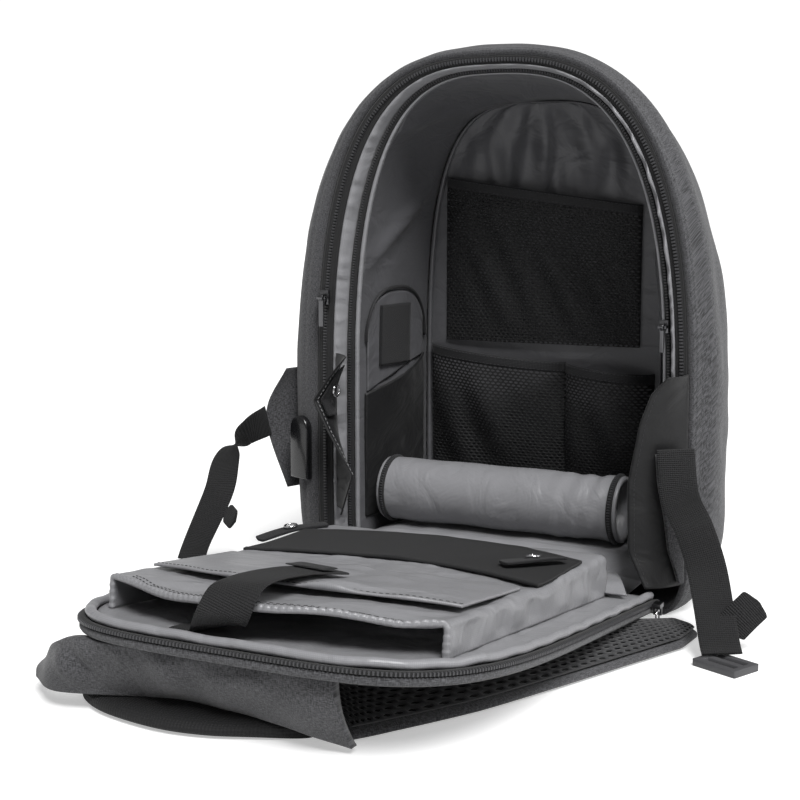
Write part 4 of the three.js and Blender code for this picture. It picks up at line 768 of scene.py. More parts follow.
def net_piece(name, place, width, height, pitch, thickness, bar, material):
    """A net over a surface given as a function of two shares: rows of six-sided holes, each row half a hole
    on from the last, cut right through. bar is the share of a cell that its threads take."""
    columns, rows = max(int(width / pitch[0]), 4), max(int(height / pitch[1]), 4)
    k, r = np.meshgrid(np.arange(2 * columns + 1), np.arange(rows + 1))
    lattice = np.stack([k / (2 * columns), r / rows], -1).reshape(-1, 2)
    across = 2 * columns + 1
    row, cell = np.meshgrid(np.arange(rows), np.arange(columns), indexing="ij")
    first = 2 * cell + row % 2
    keep = (first + 2 <= 2 * columns).ravel()
    row, first = row.ravel()[keep], first.ravel()[keep]
    low, high = row * across + first, (row + 1) * across + first
    outer = np.stack([low, low + 1, low + 2, high + 2, high + 1, high], -1)
    middle = np.stack([(first + 1) / (2 * columns), (row + 0.5) / rows], -1)
    shape = np.array([(-1, -0.42), (0, -1), (1, -0.42), (1, 0.42), (0, 1), (-1, 0.42)])
    shape = shape * (1 - bar) * (0.5 / columns, 0.5 / rows)
    holes = (middle[:, None] + shape[None]).reshape(-1, 2)
    inner = len(lattice) + np.arange(len(holes)).reshape(-1, 6)
    cells = np.stack([outer, np.roll(outer, -1, 1), np.roll(inner, -1, 1), inner], -1).reshape(-1, 4)
    odd = np.arange(1, rows, 2)
    halves = []
    for start in (0, 2 * columns - 1):
        a, b = odd * across + start, (odd + 1) * across + start
        halves.append(np.stack([a, a + 1, b + 1, b], -1))
    front = np.concatenate([cells, *halves])
    shares = np.concatenate([lattice, holes])
    face = place(shares[:, 0], shares[:, 1], 0.0)
    back = place(shares[:, 0], shares[:, 1], thickness)
    count = len(shares)
    onward = np.roll(inner, -1, 1)
    rim = np.stack([inner, onward, onward + count, inner + count], -1).reshape(-1, 4)
    edge_low, edge_high = np.arange(2 * columns), rows * across + np.arange(2 * columns)
    edge_left = np.arange(rows) * across
    edge_right = edge_left + 2 * columns
    borders = [(edge_low + 1, edge_low), (edge_high, edge_high + 1),
               (edge_left, edge_left + across), (edge_right + across, edge_right)]
    border = np.concatenate([np.stack([a, b, b + count, a + count], -1) for a, b in borders])
    faces = np.concatenate([front, front[:, ::-1] + count, rim, border])
    uv = np.concatenate([shares, shares]) * (width, height)
    return make_piece(name, np.concatenate([face, back]), [faces], material, uv)


def stitch_row(name, path, up, length, pitch, material, width=0.5):
    """A row of straight stitches, each a short raised thread."""
    return row_of_blocks(name, path, up, pitch, (length, width, THREAD_RISE), material)


knitted_mesh = plain_material("knitted_mesh_thread", "141415", 0.75)
black_binding = woven_cloth("folded_black_binding", "17171a", 1.3, roughness=0.7)
dark_thread = plain_material("dark_sewing_thread", "39393b", 0.8)


def pocket_side(side, height):
    """Where a pocket is sewn down at the left, -1, or the right, 1."""
    return lining_x(side, height, LINING_FRONT_DEPTH) - side * POCKET_SIDE_MARGIN


def pocket_depth(pocket, share, rise):
    """How far a pocket bellies off the wall at a share across it and a share of its height."""
    edges = np.array(pocket["cells"])
    cell = np.clip(np.searchsorted(edges, share, side="right"), 1, len(edges) - 1)
    a, b = edges[cell - 1], edges[cell]
    across = np.abs(np.sin(math.pi * np.clip((share - a) / (b - a), 0, 1))) ** 0.5
    flat = LINING_FRONT_DEPTH - (BINDING_THICKNESS - NET) / 2
    return flat - pocket["belly"] * between(POCKET_FOOT_BELLY, 1, eased(rise)) * across


for pocket in POCKETS:
    left, right = (float(pocket_side(side, pocket["left"])) for side in (-1, 1))

    def net_place(share, rise, off, pocket=pocket, left=left, right=right):
        """A place on the net: it hangs in slanting folds that fade out at its sewn edges."""
        x = between(left, right, share)
        top = between(pocket["left"], pocket["right"], share) - BINDING_HEIGHT / 2
        z = between(pocket["foot"], top, rise)
        calm = np.sin(math.pi * rise) * np.minimum(1, 6 * share * (1 - share))
        hung = POCKET_SWAY * calm * ripples(x + 0.3 * z, z * 0.25, 34, pocket["seed"])
        return np.stack([x, pocket_depth(pocket, share, rise) - off + hung, z], -1)

    title = pocket["name"]
    net_size = (right - left, pocket["left"] - pocket["foot"])
    net = net_piece(f"{title}_pocket_net", net_place, *net_size, NET_PITCH, NET, 0.3, knitted_mesh)
    hand_over(net, "bag", "mesh", f"{title}_mesh_pocket")
    share = np.linspace(0, 1, BINDING_GRID[0])
    x = between(left, right, share)
    y = pocket_depth(pocket, share, np.ones_like(share)) - NET / 2
    z = between(pocket["left"], pocket["right"], share)
    c, s = superellipse(full_turn(BINDING_GRID[1]), 4)
    section_y, section_z = c * BINDING_THICKNESS / 2, s * BINDING_HEIGHT / 2
    binding_rings = np.stack([
        np.broadcast_to(x[:, None], BINDING_GRID), y[:, None] + section_y, z[:, None] + section_z], -1)
    hand_over(loft(f"{title}_mouth_binding", binding_rings, black_binding), "bag", "black_cloth",
              f"{title}_pocket_binding")
    for row, rise in BINDING_ROWS.items():
        path = np.stack([x, y - BINDING_THICKNESS / 2, z + rise], -1)
        stitches = stitch_row(f"{title}_binding_stitches_{row}", path, TO_FRONT, *BINDING_STITCH, dark_thread)
        hand_over(stitches, "bag", "black_cloth")


# Left wall: an arched patch of lining with a bound edge, a strip of loop pile with stitched sides, and the
# black pocket below it.
SIDE_PATCH = {"front": 22, "back": 110, "top": 240, "shoulder": 196}
SIDE_MOUTH = {"front": 152, "back": 180}
SIDE_LOOP = {"front": 40, "back": 84, "foot": 174, "top": 226}
SIDE_BELLY = 9
SIDE_BINDING = 3


def on_left_wall(depth, height, off):
    """A place on the left wall's face, so far off it."""
    return np.stack(np.broadcast_arrays(lining_x(-1, height, depth) + off, depth, height), -1)


def patch_share(depth):
    """How far back a depth lies on the patch, as a share."""
    return (depth - SIDE_PATCH["front"]) / (SIDE_PATCH["back"] - SIDE_PATCH["front"])


def arch_height(depth):
    """The arch over the patch, from its shoulders to its top."""
    curve = np.clip(1 - np.abs(2 * patch_share(depth) - 1) ** 2.6, 0, 1) ** (1 / 2.2)
    return between(SIDE_PATCH["shoulder"], SIDE_PATCH["top"], curve)


def mouth_height(depth):
    """The slanting line between the patch and the pocket's mouth."""
    return between(SIDE_MOUTH["front"], SIDE_MOUTH["back"], patch_share(depth))


def pile_cloth(name, colour):
    """Hook or loop pile: stiff nylon bristle, very matt, grainy at the scale of half a millimetre."""
    material, tree, shader = new_material(name, {"Roughness": 1.0, "Sheen Weight": 0.08})
    grain = add_node(tree, "ShaderNodeTexNoise", {
        "Vector": cloth_coordinates(tree, 0.9, 0.9), "Scale": 1.0, "Detail": 3.0, "Roughness": 0.7})
    spread = add_node(tree, "ShaderNodeMapRange", {
        "Value": grain.outputs["Fac"], "From Min": 0.35, "From Max": 0.7})
    # Where the grain stands up the colour is painted lighter and where it lies low darker: painted sheen on
    # the bristle tips and painted shade between them.
    blended(tree, shader, spread.outputs[0], shade_of(colour, 0.35), shade_of(colour, 2.6))
    bumped(tree, shader, 1.0, 0.6, grain.outputs["Fac"])
    return material


pile = pile_cloth("hook_and_loop_pile", "121214")
v, u = share_grid(36, 48)
depth = between(SIDE_PATCH["front"] + SIDE_BINDING, SIDE_PATCH["back"] - SIDE_BINDING, u)
height = between(mouth_height(depth) + GAP, arch_height(depth) - SIDE_BINDING, v)
dimple = 0.4 * np.abs(ripples(depth, height, 30, 61)) * np.sin(math.pi * u)
# Painted shade: the patch is drawn in the darker copy of the lining.
patch = closed_sheet("side_patch_cloth", on_left_wall(depth, height, GAP + CLOTH + dimple),
                     on_left_wall(depth, height, GAP), painted_shade_lining)
hand_over(patch, "bag", "dark_lining", "side_patch")

arch = (1 - np.cos(np.linspace(0, math.pi, 60))) / 2
arch_depth = between(SIDE_PATCH["front"], SIDE_PATCH["back"], arch)
turn = full_turn(12)
arch_rings = on_left_wall(
    arch_depth[:, None], arch_height(arch_depth)[:, None] + GAP + np.sin(turn) * SIDE_BINDING / 2,
    GAP + (1 + np.cos(turn)) * SIDE_BINDING / 2)
arch_binding = loft("side_patch_bound_edge", arch_rings, black_binding)
hand_over(arch_binding, "bag", "black_cloth", "side_patch_binding")

v, u = share_grid(24, 20)
depth = between(SIDE_LOOP["front"], SIDE_LOOP["back"], u)
height = between(SIDE_LOOP["foot"], SIDE_LOOP["top"], v)
loop_foot = 2 * GAP + CLOTH + 0.3
loop_strip = closed_sheet("side_loop_strip", on_left_wall(depth, height, loop_foot + CLOTH),
                          on_left_wall(depth, height, loop_foot), pile)
hand_over(loop_strip, "bag", "hook_loop", "side_patch_loop")

black_nylon = nylon_lining("black_nylon", "0d0d0f", roughness=0.55)
v, u = share_grid(50, 50)
depth = between(SIDE_PATCH["front"], SIDE_PATCH["back"], u)
height = between(FLOOR_PAD_TOP + 5, mouth_height(depth), v)
rise = np.clip(2 * v - 1, 0, 1)
belly = SIDE_BELLY * eased(rise) * np.sin(math.pi * u)
off = 2 * GAP + belly + 0.5 * np.abs(ripples(depth, height, 36, 62)) * np.sin(math.pi * u)
side_pocket = closed_sheet("side_pocket_cloth", on_left_wall(depth, height, off + CLOTH),
                           on_left_wall(depth, height, 2 * GAP + belly), black_nylon)
hand_over(side_pocket, "bag", "black_cloth", "side_pocket")


# Rolled divider: the zip-in divider of padded lining, rolled up and laid on the floor padding. Its zip shows
# as a ring of teeth near each end, and the lining wrinkles towards the right-hand end.
ROLL_RADIUS = 27
ROLL_WALL = 5
ROLL_LEFT = -106
ROLL_RIGHT = 104
ROLL_DEPTH = 44
ROLL_RING_RISE = 1
ROLL_RING_WIDTH = 5
ROLL_TEETH = (2.2, (1.3, 2.4, 0.9))
ROLL_TEETH_FOOT = 0.8
ROLL_CRUMPLE = 1.5
ROLL_UNEVEN = 0.4
ROLL_CRUMPLE_FROM = 30  # the crumpling begins here and grows to the right-hand end
roll_height = FLOOR_PAD_TOP + GAP + ROLL_RADIUS + ROLL_RING_RISE / 2
turn = full_turn(128)[None, :]
along = np.linspace(ROLL_LEFT, ROLL_RIGHT, 150)[:, None]
to_end = np.clip((along - ROLL_CRUMPLE_FROM) / (ROLL_RIGHT - ROLL_CRUMPLE_FROM), 0, 1)
arc = turn * ROLL_RADIUS
crumple = ROLL_CRUMPLE * to_end * ripples(along * 1.5, arc * 0.35, 24, 71)
crumple = crumple + ROLL_UNEVEN * ripples(along, arc, 60, 72)
fade = np.clip(np.minimum(along - ROLL_LEFT - 8, ROLL_RIGHT - 8 - along) / 12, 0, 1)
radius = ROLL_RADIUS - GAP + crumple * fade


def round_roll(x, radius, turn):
    """Places round the roll's axis, from places along it, radii and angles."""
    x, y, z = np.broadcast_arrays(x, ROLL_DEPTH + radius * np.cos(turn), roll_height + radius * np.sin(turn))
    return np.stack([x, y, z], -1)


outer_rings = round_roll(along, radius, turn)
inner_rings = round_roll(np.linspace(ROLL_RIGHT, ROLL_LEFT, 12)[:, None], ROLL_RADIUS - ROLL_WALL, turn)
divider = loft("rolled_divider", np.concatenate([outer_rings, inner_rings]), lining, closed=True)
hand_over(divider, "bag", "lining", "divider_roll")
for side, middle in (("left", ROLL_LEFT + ROLL_RING_WIDTH), ("right", ROLL_RIGHT - ROLL_RING_WIDTH)):
    half = ROLL_RING_WIDTH / 2
    outline = [(-half, 0.2), (-half + 0.6, 0.9), (half - 0.6, 0.9), (half, 0.2), (half, -1.4), (-half, -1.4)]
    tape_rings = np.stack([round_roll(middle + x, ROLL_RADIUS + r, full_turn(96)) for x, r in outline], 1)
    hand_over(loft(f"roll_zip_tape_{side}", tape_rings, zip_tape, closed=True), "bag", "black_cloth")
    path = round_roll(middle, ROLL_RADIUS + ROLL_TEETH_FOOT, np.linspace(0, 2 * math.pi, 200))
    outward = even_steps(path, ROLL_TEETH[0])[0] - (middle, ROLL_DEPTH, roll_height)
    teeth = row_of_blocks(f"roll_zip_teeth_{side}", path, outward, *ROLL_TEETH, moulded_teeth)
    hand_over(teeth, "bag", "zip_metal")


# Back panel: a stiff board lined with nylon on the inside. Half of the main zip runs round it on its edge,
# between light piping inside and a bound edge of heather cloth below. Air mesh over foam covers its outside.
PANEL_LENGTH = 372
PANEL_HALF_WIDTH = 150
PANEL_ROUNDNESS = 4.2
PANEL_STRAIGHT = 130
PANEL_HINGE_Y = -14
PANEL_HINGE_Z = 15.5
PANEL_RISE = math.radians(7.2)
BOARD_THICKNESS = 6
BACK_PAD_THICKNESS = 9
BACK_PAD_INSET = 24
PANEL_PIPE_RADIUS = 3
PANEL_TAPE_WIDTH = 3
PANEL_TAPE_DROP = 2.6
PANEL_BINDING_DROP = 5
PANEL_CLOTH_INSET = 9
PANEL_TEETH = (2.4, (1.4, 2.6, 1.1))
panel_normal = np.array([0, math.sin(PANEL_RISE), math.cos(PANEL_RISE)])


def on_panel(across, along, height):
    """A place on the panel: across, along from the hinge, and height above its zip's edge."""
    across, along, height = np.broadcast_arrays(across, along, height)
    y = PANEL_HINGE_Y - along * math.cos(PANEL_RISE) + height * math.sin(PANEL_RISE)
    z = PANEL_HINGE_Z + along * math.sin(PANEL_RISE) + height * math.cos(PANEL_RISE)
    return np.stack([across, y, z], -1).astype(float)


def panel_edge(inset, start, steps=260):
    """The panel's outline at an inset, from its left end at the hinge to its right one: across and along."""
    inset = np.atleast_1d(np.asarray(inset, float))[None, :]
    sides = np.linspace(start, PANEL_STRAIGHT, 40, endpoint=False)[:, None] + 0 * inset
    turn = np.linspace(math.pi, 0, steps)[:, None]
    c, s = superellipse(turn, PANEL_ROUNDNESS)
    round_x = c * (PANEL_HALF_WIDTH - inset)
    round_y = PANEL_STRAIGHT + np.maximum(s, 0) * (PANEL_LENGTH - inset - PANEL_STRAIGHT)
    side_x = PANEL_HALF_WIDTH - inset + 0 * sides
    across = np.concatenate([-side_x, round_x, side_x])
    along = np.concatenate([sides, round_y, sides[::-1]])
    return across, along


def panel_sweep(section, start):
    """Rings of a trim round the panel's edge, from its section as pairs of inset and height."""
    inset, height = np.array(section, float).T
    across, along = panel_edge(inset, start)
    return on_panel(across, along, height[None, :])


def panel_sheet(name, start, inset, levels, material, swell=None, rings=26):
    """A plate with the panel's outline: rings that shrink from its edge to its middle, above and below."""
    shrink = 1 - np.linspace(0, 0.98, rings) ** 1.2
    across, along = panel_edge([inset], start)
    across, along = across[:, 0], along[:, 0]
    middle = (start + PANEL_LENGTH) / 2
    x = shrink[:, None] * across
    y = middle + shrink[:, None] * (along - middle)
    top = levels[0] + (0 if swell is None else swell(x, y)) * np.minimum(1, (1 - shrink) * 12)[:, None]
    rings_of_points = np.concatenate([
        on_panel(x, y, top)[::-1], on_panel(x[:1], y[:1], levels[1]), on_panel(x[-1:], y[-1:], levels[1])])
    piece = loft(name, rings_of_points, material)
    lay_cloth(piece, lambda x, y, z: (x, y))
    return piece


board_inset = PANEL_TAPE_WIDTH + 2 * GAP
board_cloth = woven_cloth("black_board_cover", "1d1d1f", 1.4)
hand_over(panel_sheet("panel_board_cover", 0.0, board_inset, (0, -BOARD_THICKNESS), board_cloth),
          "bag", "black_cloth", "panel_board")


def lining_swell(x, y):
    """The panel's lining: slack between its sewn edges."""
    return 0.5 * ripples(x, y, 70, 81) + 0.25 * ripples(x, y, 24, 82)


panel_lining = panel_sheet(
    "panel_lining_cloth", 4.0, PANEL_CLOTH_INSET, (GAP + CLOTH, GAP), lining, lining_swell)
hand_over(panel_lining, "bag", "lining", "panel_lining")
pad_top = -BOARD_THICKNESS - GAP

tape_in = board_inset - GAP
tape_out = tape_in - PANEL_TAPE_WIDTH
panel_tape = loft("panel_zip_tape_cloth", panel_sweep([
    (tape_in, 0.4), (tape_out + 0.4, 0.5), (tape_out - 0.7, -0.2), (tape_out - 0.9, -1.3),
    (tape_out - 0.6, -2.3), (tape_out + 0.2, -PANEL_TAPE_DROP), (tape_in, -PANEL_TAPE_DROP)], 2.0), zip_tape)
hand_over(panel_tape, "bag", "black_cloth", "panel_zip_tape")
across, along = panel_edge([tape_out - 0.7], 2.0, 600)
edge_path = on_panel(across[:, 0], along[:, 0], -1.0)
points, run = even_steps(edge_path, PANEL_TEETH[0])
outward = np.cross(panel_normal, run)
outward *= np.sign(np.einsum("ij,ij->i", outward, points - np.array([0, -200, 30])))[:, None]
panel_teeth = row_of_blocks("panel_zip_teeth", edge_path, outward, *PANEL_TEETH, moulded_teeth)
hand_over(panel_teeth, "bag", "zip_metal")
binding_top = -PANEL_TAPE_DROP - GAP
binding_foot = binding_top - PANEL_BINDING_DROP
edge_binding = loft("panel_bound_edge", panel_sweep([
    (tape_in, binding_top), (tape_out, binding_top), (tape_out - 0.5, binding_top - 1.2),
    (tape_out - 0.4, binding_top - 3.4), (tape_out + 0.6, binding_foot), (tape_in, binding_foot)], 2.0),
    heather)
hand_over(edge_binding, "bag", "heather", "panel_edge_binding")
piping_section = round_section(board_inset + 1.6, PANEL_PIPE_RADIUS + GAP, PANEL_PIPE_RADIUS, sides=14)
piping_rings = panel_sweep([(inset, height) for inset, height, _ in piping_section], 6.0)
run = distances(piping_rings[:, 3])
piping_rings = piping_rings + panel_normal * (0.35 * ripples(run, 0 * run, 24, 83))[:, None, None]
hand_over(loft("panel_light_piping", piping_rings, lining), "bag", "lining", "panel_edge_piping")


# Hinge: lining runs on from the padded floor down to the panel, and a strip of heather joins the two bases.
SLEEVE_START = 34
HINGE_START = 0.7  # where the hinge's lining leaves the floor pad, as a share of its height
HINGE_MARGIN = 12
HINGE_BULGE = 3
HINGE_WAVE = 0.6
v, u = share_grid(30, 90)
hinge_from = np.array([0, FLOOR_PAD_FRONT - GAP, FLOOR_PAD_TOP * HINGE_START])
hinge_to = on_panel(0, SLEEVE_START - 2, 3 * GAP + 2 * CLOTH)
hinge_half = between(SEAM_LEFT - lining_inset - pad_margin, PANEL_HALF_WIDTH - board_inset - HINGE_MARGIN, v)
hinge_line = between(hinge_from, hinge_to, v[..., None])
hinge_line[..., 0] = (2 * u - 1) * hinge_half
hinge_line[..., 2] += HINGE_BULGE * np.sin(math.pi * v)
hinge_wave = HINGE_WAVE * ripples(hinge_line[..., 0], 40 * v, 30, 91) * np.sin(math.pi * v)
hinge_face = hinge_line + np.stack([0 * v, 0 * v, CLOTH + np.maximum(hinge_wave, -0.4)], -1)
hand_over(closed_sheet("hinge_lining_cloth", hinge_face, hinge_line, lining), "bag", "lining",
          "hinge_lining")

v, u = share_grid(8, 60)
outer_from, outer_to = np.array([0, -GAP, GAP]), on_panel(0, -3 * GAP, -BOARD_THICKNESS)
outer_foot = between(outer_from, outer_to, v[..., None])
outer_foot[..., 0] = (2 * u - 1) * (PANEL_HALF_WIDTH - 2 * board_inset)
hinge_outer = closed_sheet("hinge_outer_cloth", outer_foot + (0, 0, 2 * CLOTH), outer_foot, heather)
hand_over(hinge_outer, "bag", "heather", "hinge_cloth")


# Laptop sleeve: a box of padded lining sewn on the panel, open at its far end. Its hem is turned and sewn
# with two rows of stitches that gather it. A flat pocket for a tablet lies on it.
SLEEVE_HALF_WIDTH = 118
SLEEVE_END = 318
SLEEVE_MOUTH_BOW = 36
SLEEVE_HEIGHT = 22
SLEEVE_CROWN = 1.4
SLEEVE_WALL = 3.4
SLEEVE_CORNER = 5
BAND_START = 45
BAND_WIDTH = 90
BAND_BOW = 34
BAND_THICKNESS = 1.6
TABLET_START = 190
TABLET_END = 284
TABLET_BOW = 22
TABLET_RISE = 4
TABLET_EASE = 0.5  # how far the tablet pocket lies off the sleeve
TABLET_SLACK = (0.6, 1.3)  # its even part and its waves
TABLET_CREASES = [((20, 300), (104, 262), 7, 3.0), ((-100, 210), (-20, 262), 8, -1.8)]
SLEEVE_SLACK = 0.9
SLEEVE_SLACK_LIMIT = 1.4
SLEEVE_WRINKLES = 0.4
SLEEVE_BULGE = 1.4
HEM_STEPS = 420
HEM_CORNER = 60  # steps of the hem at each end that run up the sleeve's side, and have no stitches
HEM_GATHER = 0.4
HEM_RADIUS = 2.2
HEM_ROWS = (4.5, 8.0)  # the two rows of stitches, from the mouth
MOUTH_WAVES = [(-0.5, 0.22, -2.4), (0.42, 0.2, 2.2), (0.8, 0.13, -2.0)]  # middle, width, height
SLEEVE_CREASES = [  # from and to as across and along, width, height
    ((96, 175), (112, 320), 9, -2.6), ((-96, 190), (-40, 260), 10, -1.8), ((-98, 322), (-36, 296), 6, 1.6),
    ((-90, 332), (-20, 318), 5, -1.8), ((24, 330), (96, 300), 7, 1.8), ((36, 344), (104, 316), 5, -2.0)]
sleeve_foot = 2 * GAP + CLOTH


def sleeve_height(along):
    """The sleeve's height: it bulges at the hinge and is even from the band's far side on."""
    share = np.clip((along - SLEEVE_START) / (BAND_START + BAND_WIDTH), 0, 1)
    return SLEEVE_HEIGHT * between(SLEEVE_CROWN, 1, eased(share))


def mouth_reach(across):
    """How far the sleeve reaches: its mouth bows out in the middle."""
    share = np.clip(across / SLEEVE_HALF_WIDTH, -1, 1)
    return SLEEVE_END + SLEEVE_MOUTH_BOW * np.cos(math.pi / 2 * share)


def sleeve_section(u, height, inset):
    """The sleeve's section at shares u: up one side, round its corner, over the top and down the other."""
    half, top = SLEEVE_HALF_WIDTH - inset, height - inset
    corner = max(SLEEVE_CORNER - inset, 1.2)
    rise = top - corner
    quarter = math.pi / 2 * corner
    flat = 2 * (half - corner)
    span = 2 * rise + 2 * quarter + flat
    run = u * span
    first, second = run < rise, (run >= rise) & (run < rise + quarter)
    third = (run >= rise + quarter) & (run < rise + quarter + flat)
    fourth = (run >= rise + quarter + flat) & (run < rise + 2 * quarter + flat)
    a1 = (run - rise) / corner
    a2 = (run - rise - quarter - flat) / corner
    x = np.select([first, second, third, fourth],
                  [-half + 0 * run, -half + corner - corner * np.cos(a1),
                   -half + corner + run - rise - quarter, half - corner + corner * np.sin(a2)], half)
    z = np.select([first, second, third, fourth],
                  [run, rise + corner * np.sin(a1), top + 0 * run, rise + corner * np.cos(a2)],
                  rise - (run - rise - 2 * quarter - flat))
    return x, np.maximum(z, 0)


def across_sleeve(u):
    """Where shares u of the sleeve's section lie across the panel, at its even height."""
    return sleeve_section(u, SLEEVE_HEIGHT + 0 * u, 0)[0]


def mouth_wave(across):
    """The mouth's free edge sags beside the strap and stands up in a wave on the right."""
    share = across / SLEEVE_HALF_WIDTH
    waves = [height * np.exp(-((share - middle) / width) ** 2) for middle, width, height in MOUTH_WAVES]
    return np.sum(waves, axis=0)


def sleeve_slack(across, along):
    """How far the sleeve's top stands off its even height: slack, long creases and the mouth's waves."""
    share = np.clip((along - SLEEVE_START) / (mouth_reach(across) - SLEEVE_START), 0, 1)
    slack = SLEEVE_SLACK * ripples(across, along, 64, 101)
    slack += SLEEVE_WRINKLES * ripples(across * 1.5, along, 26, 102)
    for start, end, width, height in SLEEVE_CREASES:
        slack = slack + height * fold(across, along, start, end, width)
    calm = np.sin(math.pi * np.clip(share, 0.03, 0.9)) ** 0.4
    return np.minimum(slack, SLEEVE_SLACK_LIMIT) * calm + mouth_wave(across) * np.clip(4 * share - 3, 0, 1)


v, u = share_grid(150, 180)


def sleeve_layer(inset):
    """The sleeve's outer or inner face, both with the cloth's slack and creases."""
    x = across_sleeve(u)
    along = between(SLEEVE_START, mouth_reach(x), v)
    across, height = sleeve_section(u, sleeve_height(along), inset)
    top = np.clip((height + inset - sleeve_height(along) + 4) / 3, 0, 1)
    height = height + sleeve_slack(across, along) * top
    if inset == 0:
        bulge = SLEEVE_BULGE * ripples(along, height, 46, 103) * np.clip(1 - top, 0, 1)
        across = across + np.sign(across) * bulge * np.clip(height / 6, 0, 1) * np.clip(
            (SLEEVE_HEIGHT - height) / 6, 0, 1)
    return on_panel(across, along, sleeve_foot + height)


sleeve = closed_sheet("laptop_sleeve_cloth", sleeve_layer(0), sleeve_layer(SLEEVE_WALL), lining)
hand_over(sleeve, "bag", "lining", "laptop_sleeve")

hem_u = np.linspace(0.0, 1.0, HEM_STEPS)
hem_x = across_sleeve(hem_u)
hem_across, hem_height = sleeve_section(hem_u, SLEEVE_HEIGHT + 0 * hem_u, SLEEVE_WALL / 2)
hem_step = np.arange(float(HEM_STEPS))
gather = 0.5 * np.sin(hem_step * 0.9) + 0.5 * ripples(hem_step, 0 * hem_step, 40, 104)
hem_top = np.clip((hem_height - SLEEVE_HEIGHT + 5) / 3, 0, 1)
hem_rise = mouth_wave(hem_x) * hem_top + HEM_GATHER * gather
hem_line = on_panel(hem_across, mouth_reach(hem_x) + 0.3, sleeve_foot + hem_height + hem_rise)
turn = full_turn(12)
outward = np.array([0, -math.cos(PANEL_RISE), math.sin(PANEL_RISE)])
hem_up = unit(np.cross(unit(np.gradient(hem_line, axis=0)), outward))
hem_radius = (HEM_RADIUS + HEM_GATHER * gather)[:, None, None]
hem_rings = hem_line[:, None] + hem_radius * (
    np.cos(turn)[None, :, None] * outward * 0.8 + np.sin(turn)[None, :, None] * hem_up[:, None])
hand_over(loft("sleeve_hem", hem_rings, lining), "bag", "lining")
for number, back in enumerate(HEM_ROWS):
    row_x = across_sleeve(hem_u[HEM_CORNER:-HEM_CORNER])
    row_along = mouth_reach(row_x) - back
    row_path = on_panel(row_x, row_along, sleeve_foot + SLEEVE_HEIGHT + sleeve_slack(row_x, row_along))
    row_name = f"sleeve_hem_stitches_{number}"
    stitches = stitch_row(row_name, row_path, panel_normal, *HEM_STITCH, dark_thread, 0.7)
    hand_over(stitches, "bag", "lining")


def on_sleeve(across, along, lift):
    """A place on the sleeve's top, so far above its gap."""
    return on_panel(across, along, sleeve_foot + sleeve_height(along) + GAP + lift)


v, u = share_grid(80, 130)
share = 2 * u - 1
tablet_x = share * (SLEEVE_HALF_WIDTH - SLEEVE_CORNER - 3)
tablet_along = TABLET_START + (TABLET_END + TABLET_BOW * np.cos(math.pi / 2 * share) - TABLET_START) * v
opened = TABLET_RISE * eased(v) * np.clip(np.cos(math.pi / 2 * share * 0.98), 0, 1) ** 0.5
slack = TABLET_SLACK[0] + TABLET_SLACK[1] * ripples(tablet_x, tablet_along, 46, 105) * np.sin(math.pi * u)
for start, end, width, height in TABLET_CREASES:
    slack += height * fold(tablet_x, tablet_along, start, end, width)
slack = np.maximum(slack, 0) * np.sin(math.pi * np.clip(u, 0.02, 0.98)) ** 0.5
tablet_lift = opened + CLOTH + TABLET_EASE + slack
tablet_back = on_sleeve(tablet_x, tablet_along, opened + TABLET_EASE)
tablet_face = on_sleeve(tablet_x, tablet_along, tablet_lift)
hand_over(closed_sheet("tablet_pocket_cloth", tablet_face, tablet_back, lining), "bag", "lining",
          "tablet_pocket")
tablet_hem = on_sleeve(tablet_x[-1], tablet_along[-1] - 3.5, tablet_lift[-1])
tablet_stitches = stitch_row("tablet_hem_stitches", tablet_hem, panel_normal, *TABLET_STITCH, dark_thread)
hand_over(tablet_stitches, "bag", "lining")


# Cross band: wide woven elastic sewn over the sleeve near the hinge, its selvedges folded under. A hook tab
# with a ring snap lies at each of its ends.
BAND_WAVE = 1.5
BAND_SELVEDGE = 0.5
webbing_cloth = woven_cloth("ribbed_webbing", "121214", 1.5, roughness=0.8, ribs=2.5, relief=0.9, sheen=0.03)
v, u = share_grid(60, 160)
share = 2 * u - 1
band_x = share * (SLEEVE_HALF_WIDTH - 4)
band_along = BAND_START + BAND_WIDTH * v + BAND_BOW * share ** 2
band_along = band_along + BAND_WAVE * ripples(band_x, 0 * v, 90, 111) * (v - 0.5)
selvedge = BAND_SELVEDGE * (np.exp(-((v - 0.04) / 0.02) ** 2) + np.exp(-((v - 0.96) / 0.02) ** 2))
band_lift = GAP + BAND_THICKNESS + selvedge + 0.4 * np.maximum(ripples(band_x, band_along, 48, 112), 0)
hand_over(closed_sheet("cross_band_cloth", on_sleeve(band_x, band_along, band_lift),
                       on_sleeve(band_x, band_along, GAP), webbing_cloth), "bag", "webbing",
          "cross_band")


def flat_strap(name, stations, width, thickness, material, steps=60, ends=0.0):
    """A flat strap along a curve through stations of a middle point and the way that the strap is wide. Its
    section is a flattened superellipse, and ends is how far its two ends are rounded, as a share of width."""
    share = np.linspace(0, 1, steps)
    middle, wide = (curve_through(column, share) for column in zip(*stations))
    run = unit(np.gradient(middle, axis=0))
    wide = square_to(run, wide)
    up = np.cross(run, wide)
    length = distances(middle)
    half = np.full(steps, width / 2)
    if ends:
        reach = ends * width
        near = np.clip(np.minimum(length, length[-1] - length) / reach, 0, 1)
        half = half * np.maximum(1 - (1 - near) ** 2.5, 0.15)
    turn = full_turn(24)
    c, s = superellipse(turn, 5)
    c, s = np.where(np.abs(c) > 1, np.sign(c), c), np.clip(s, -1, 1)
    rings = (middle[:, None] + wide[:, None] * (c[None, :] * half[:, None])[..., None]
             + up[:, None] * (s * thickness / 2)[None, :, None])
    return loft(name, rings, material)


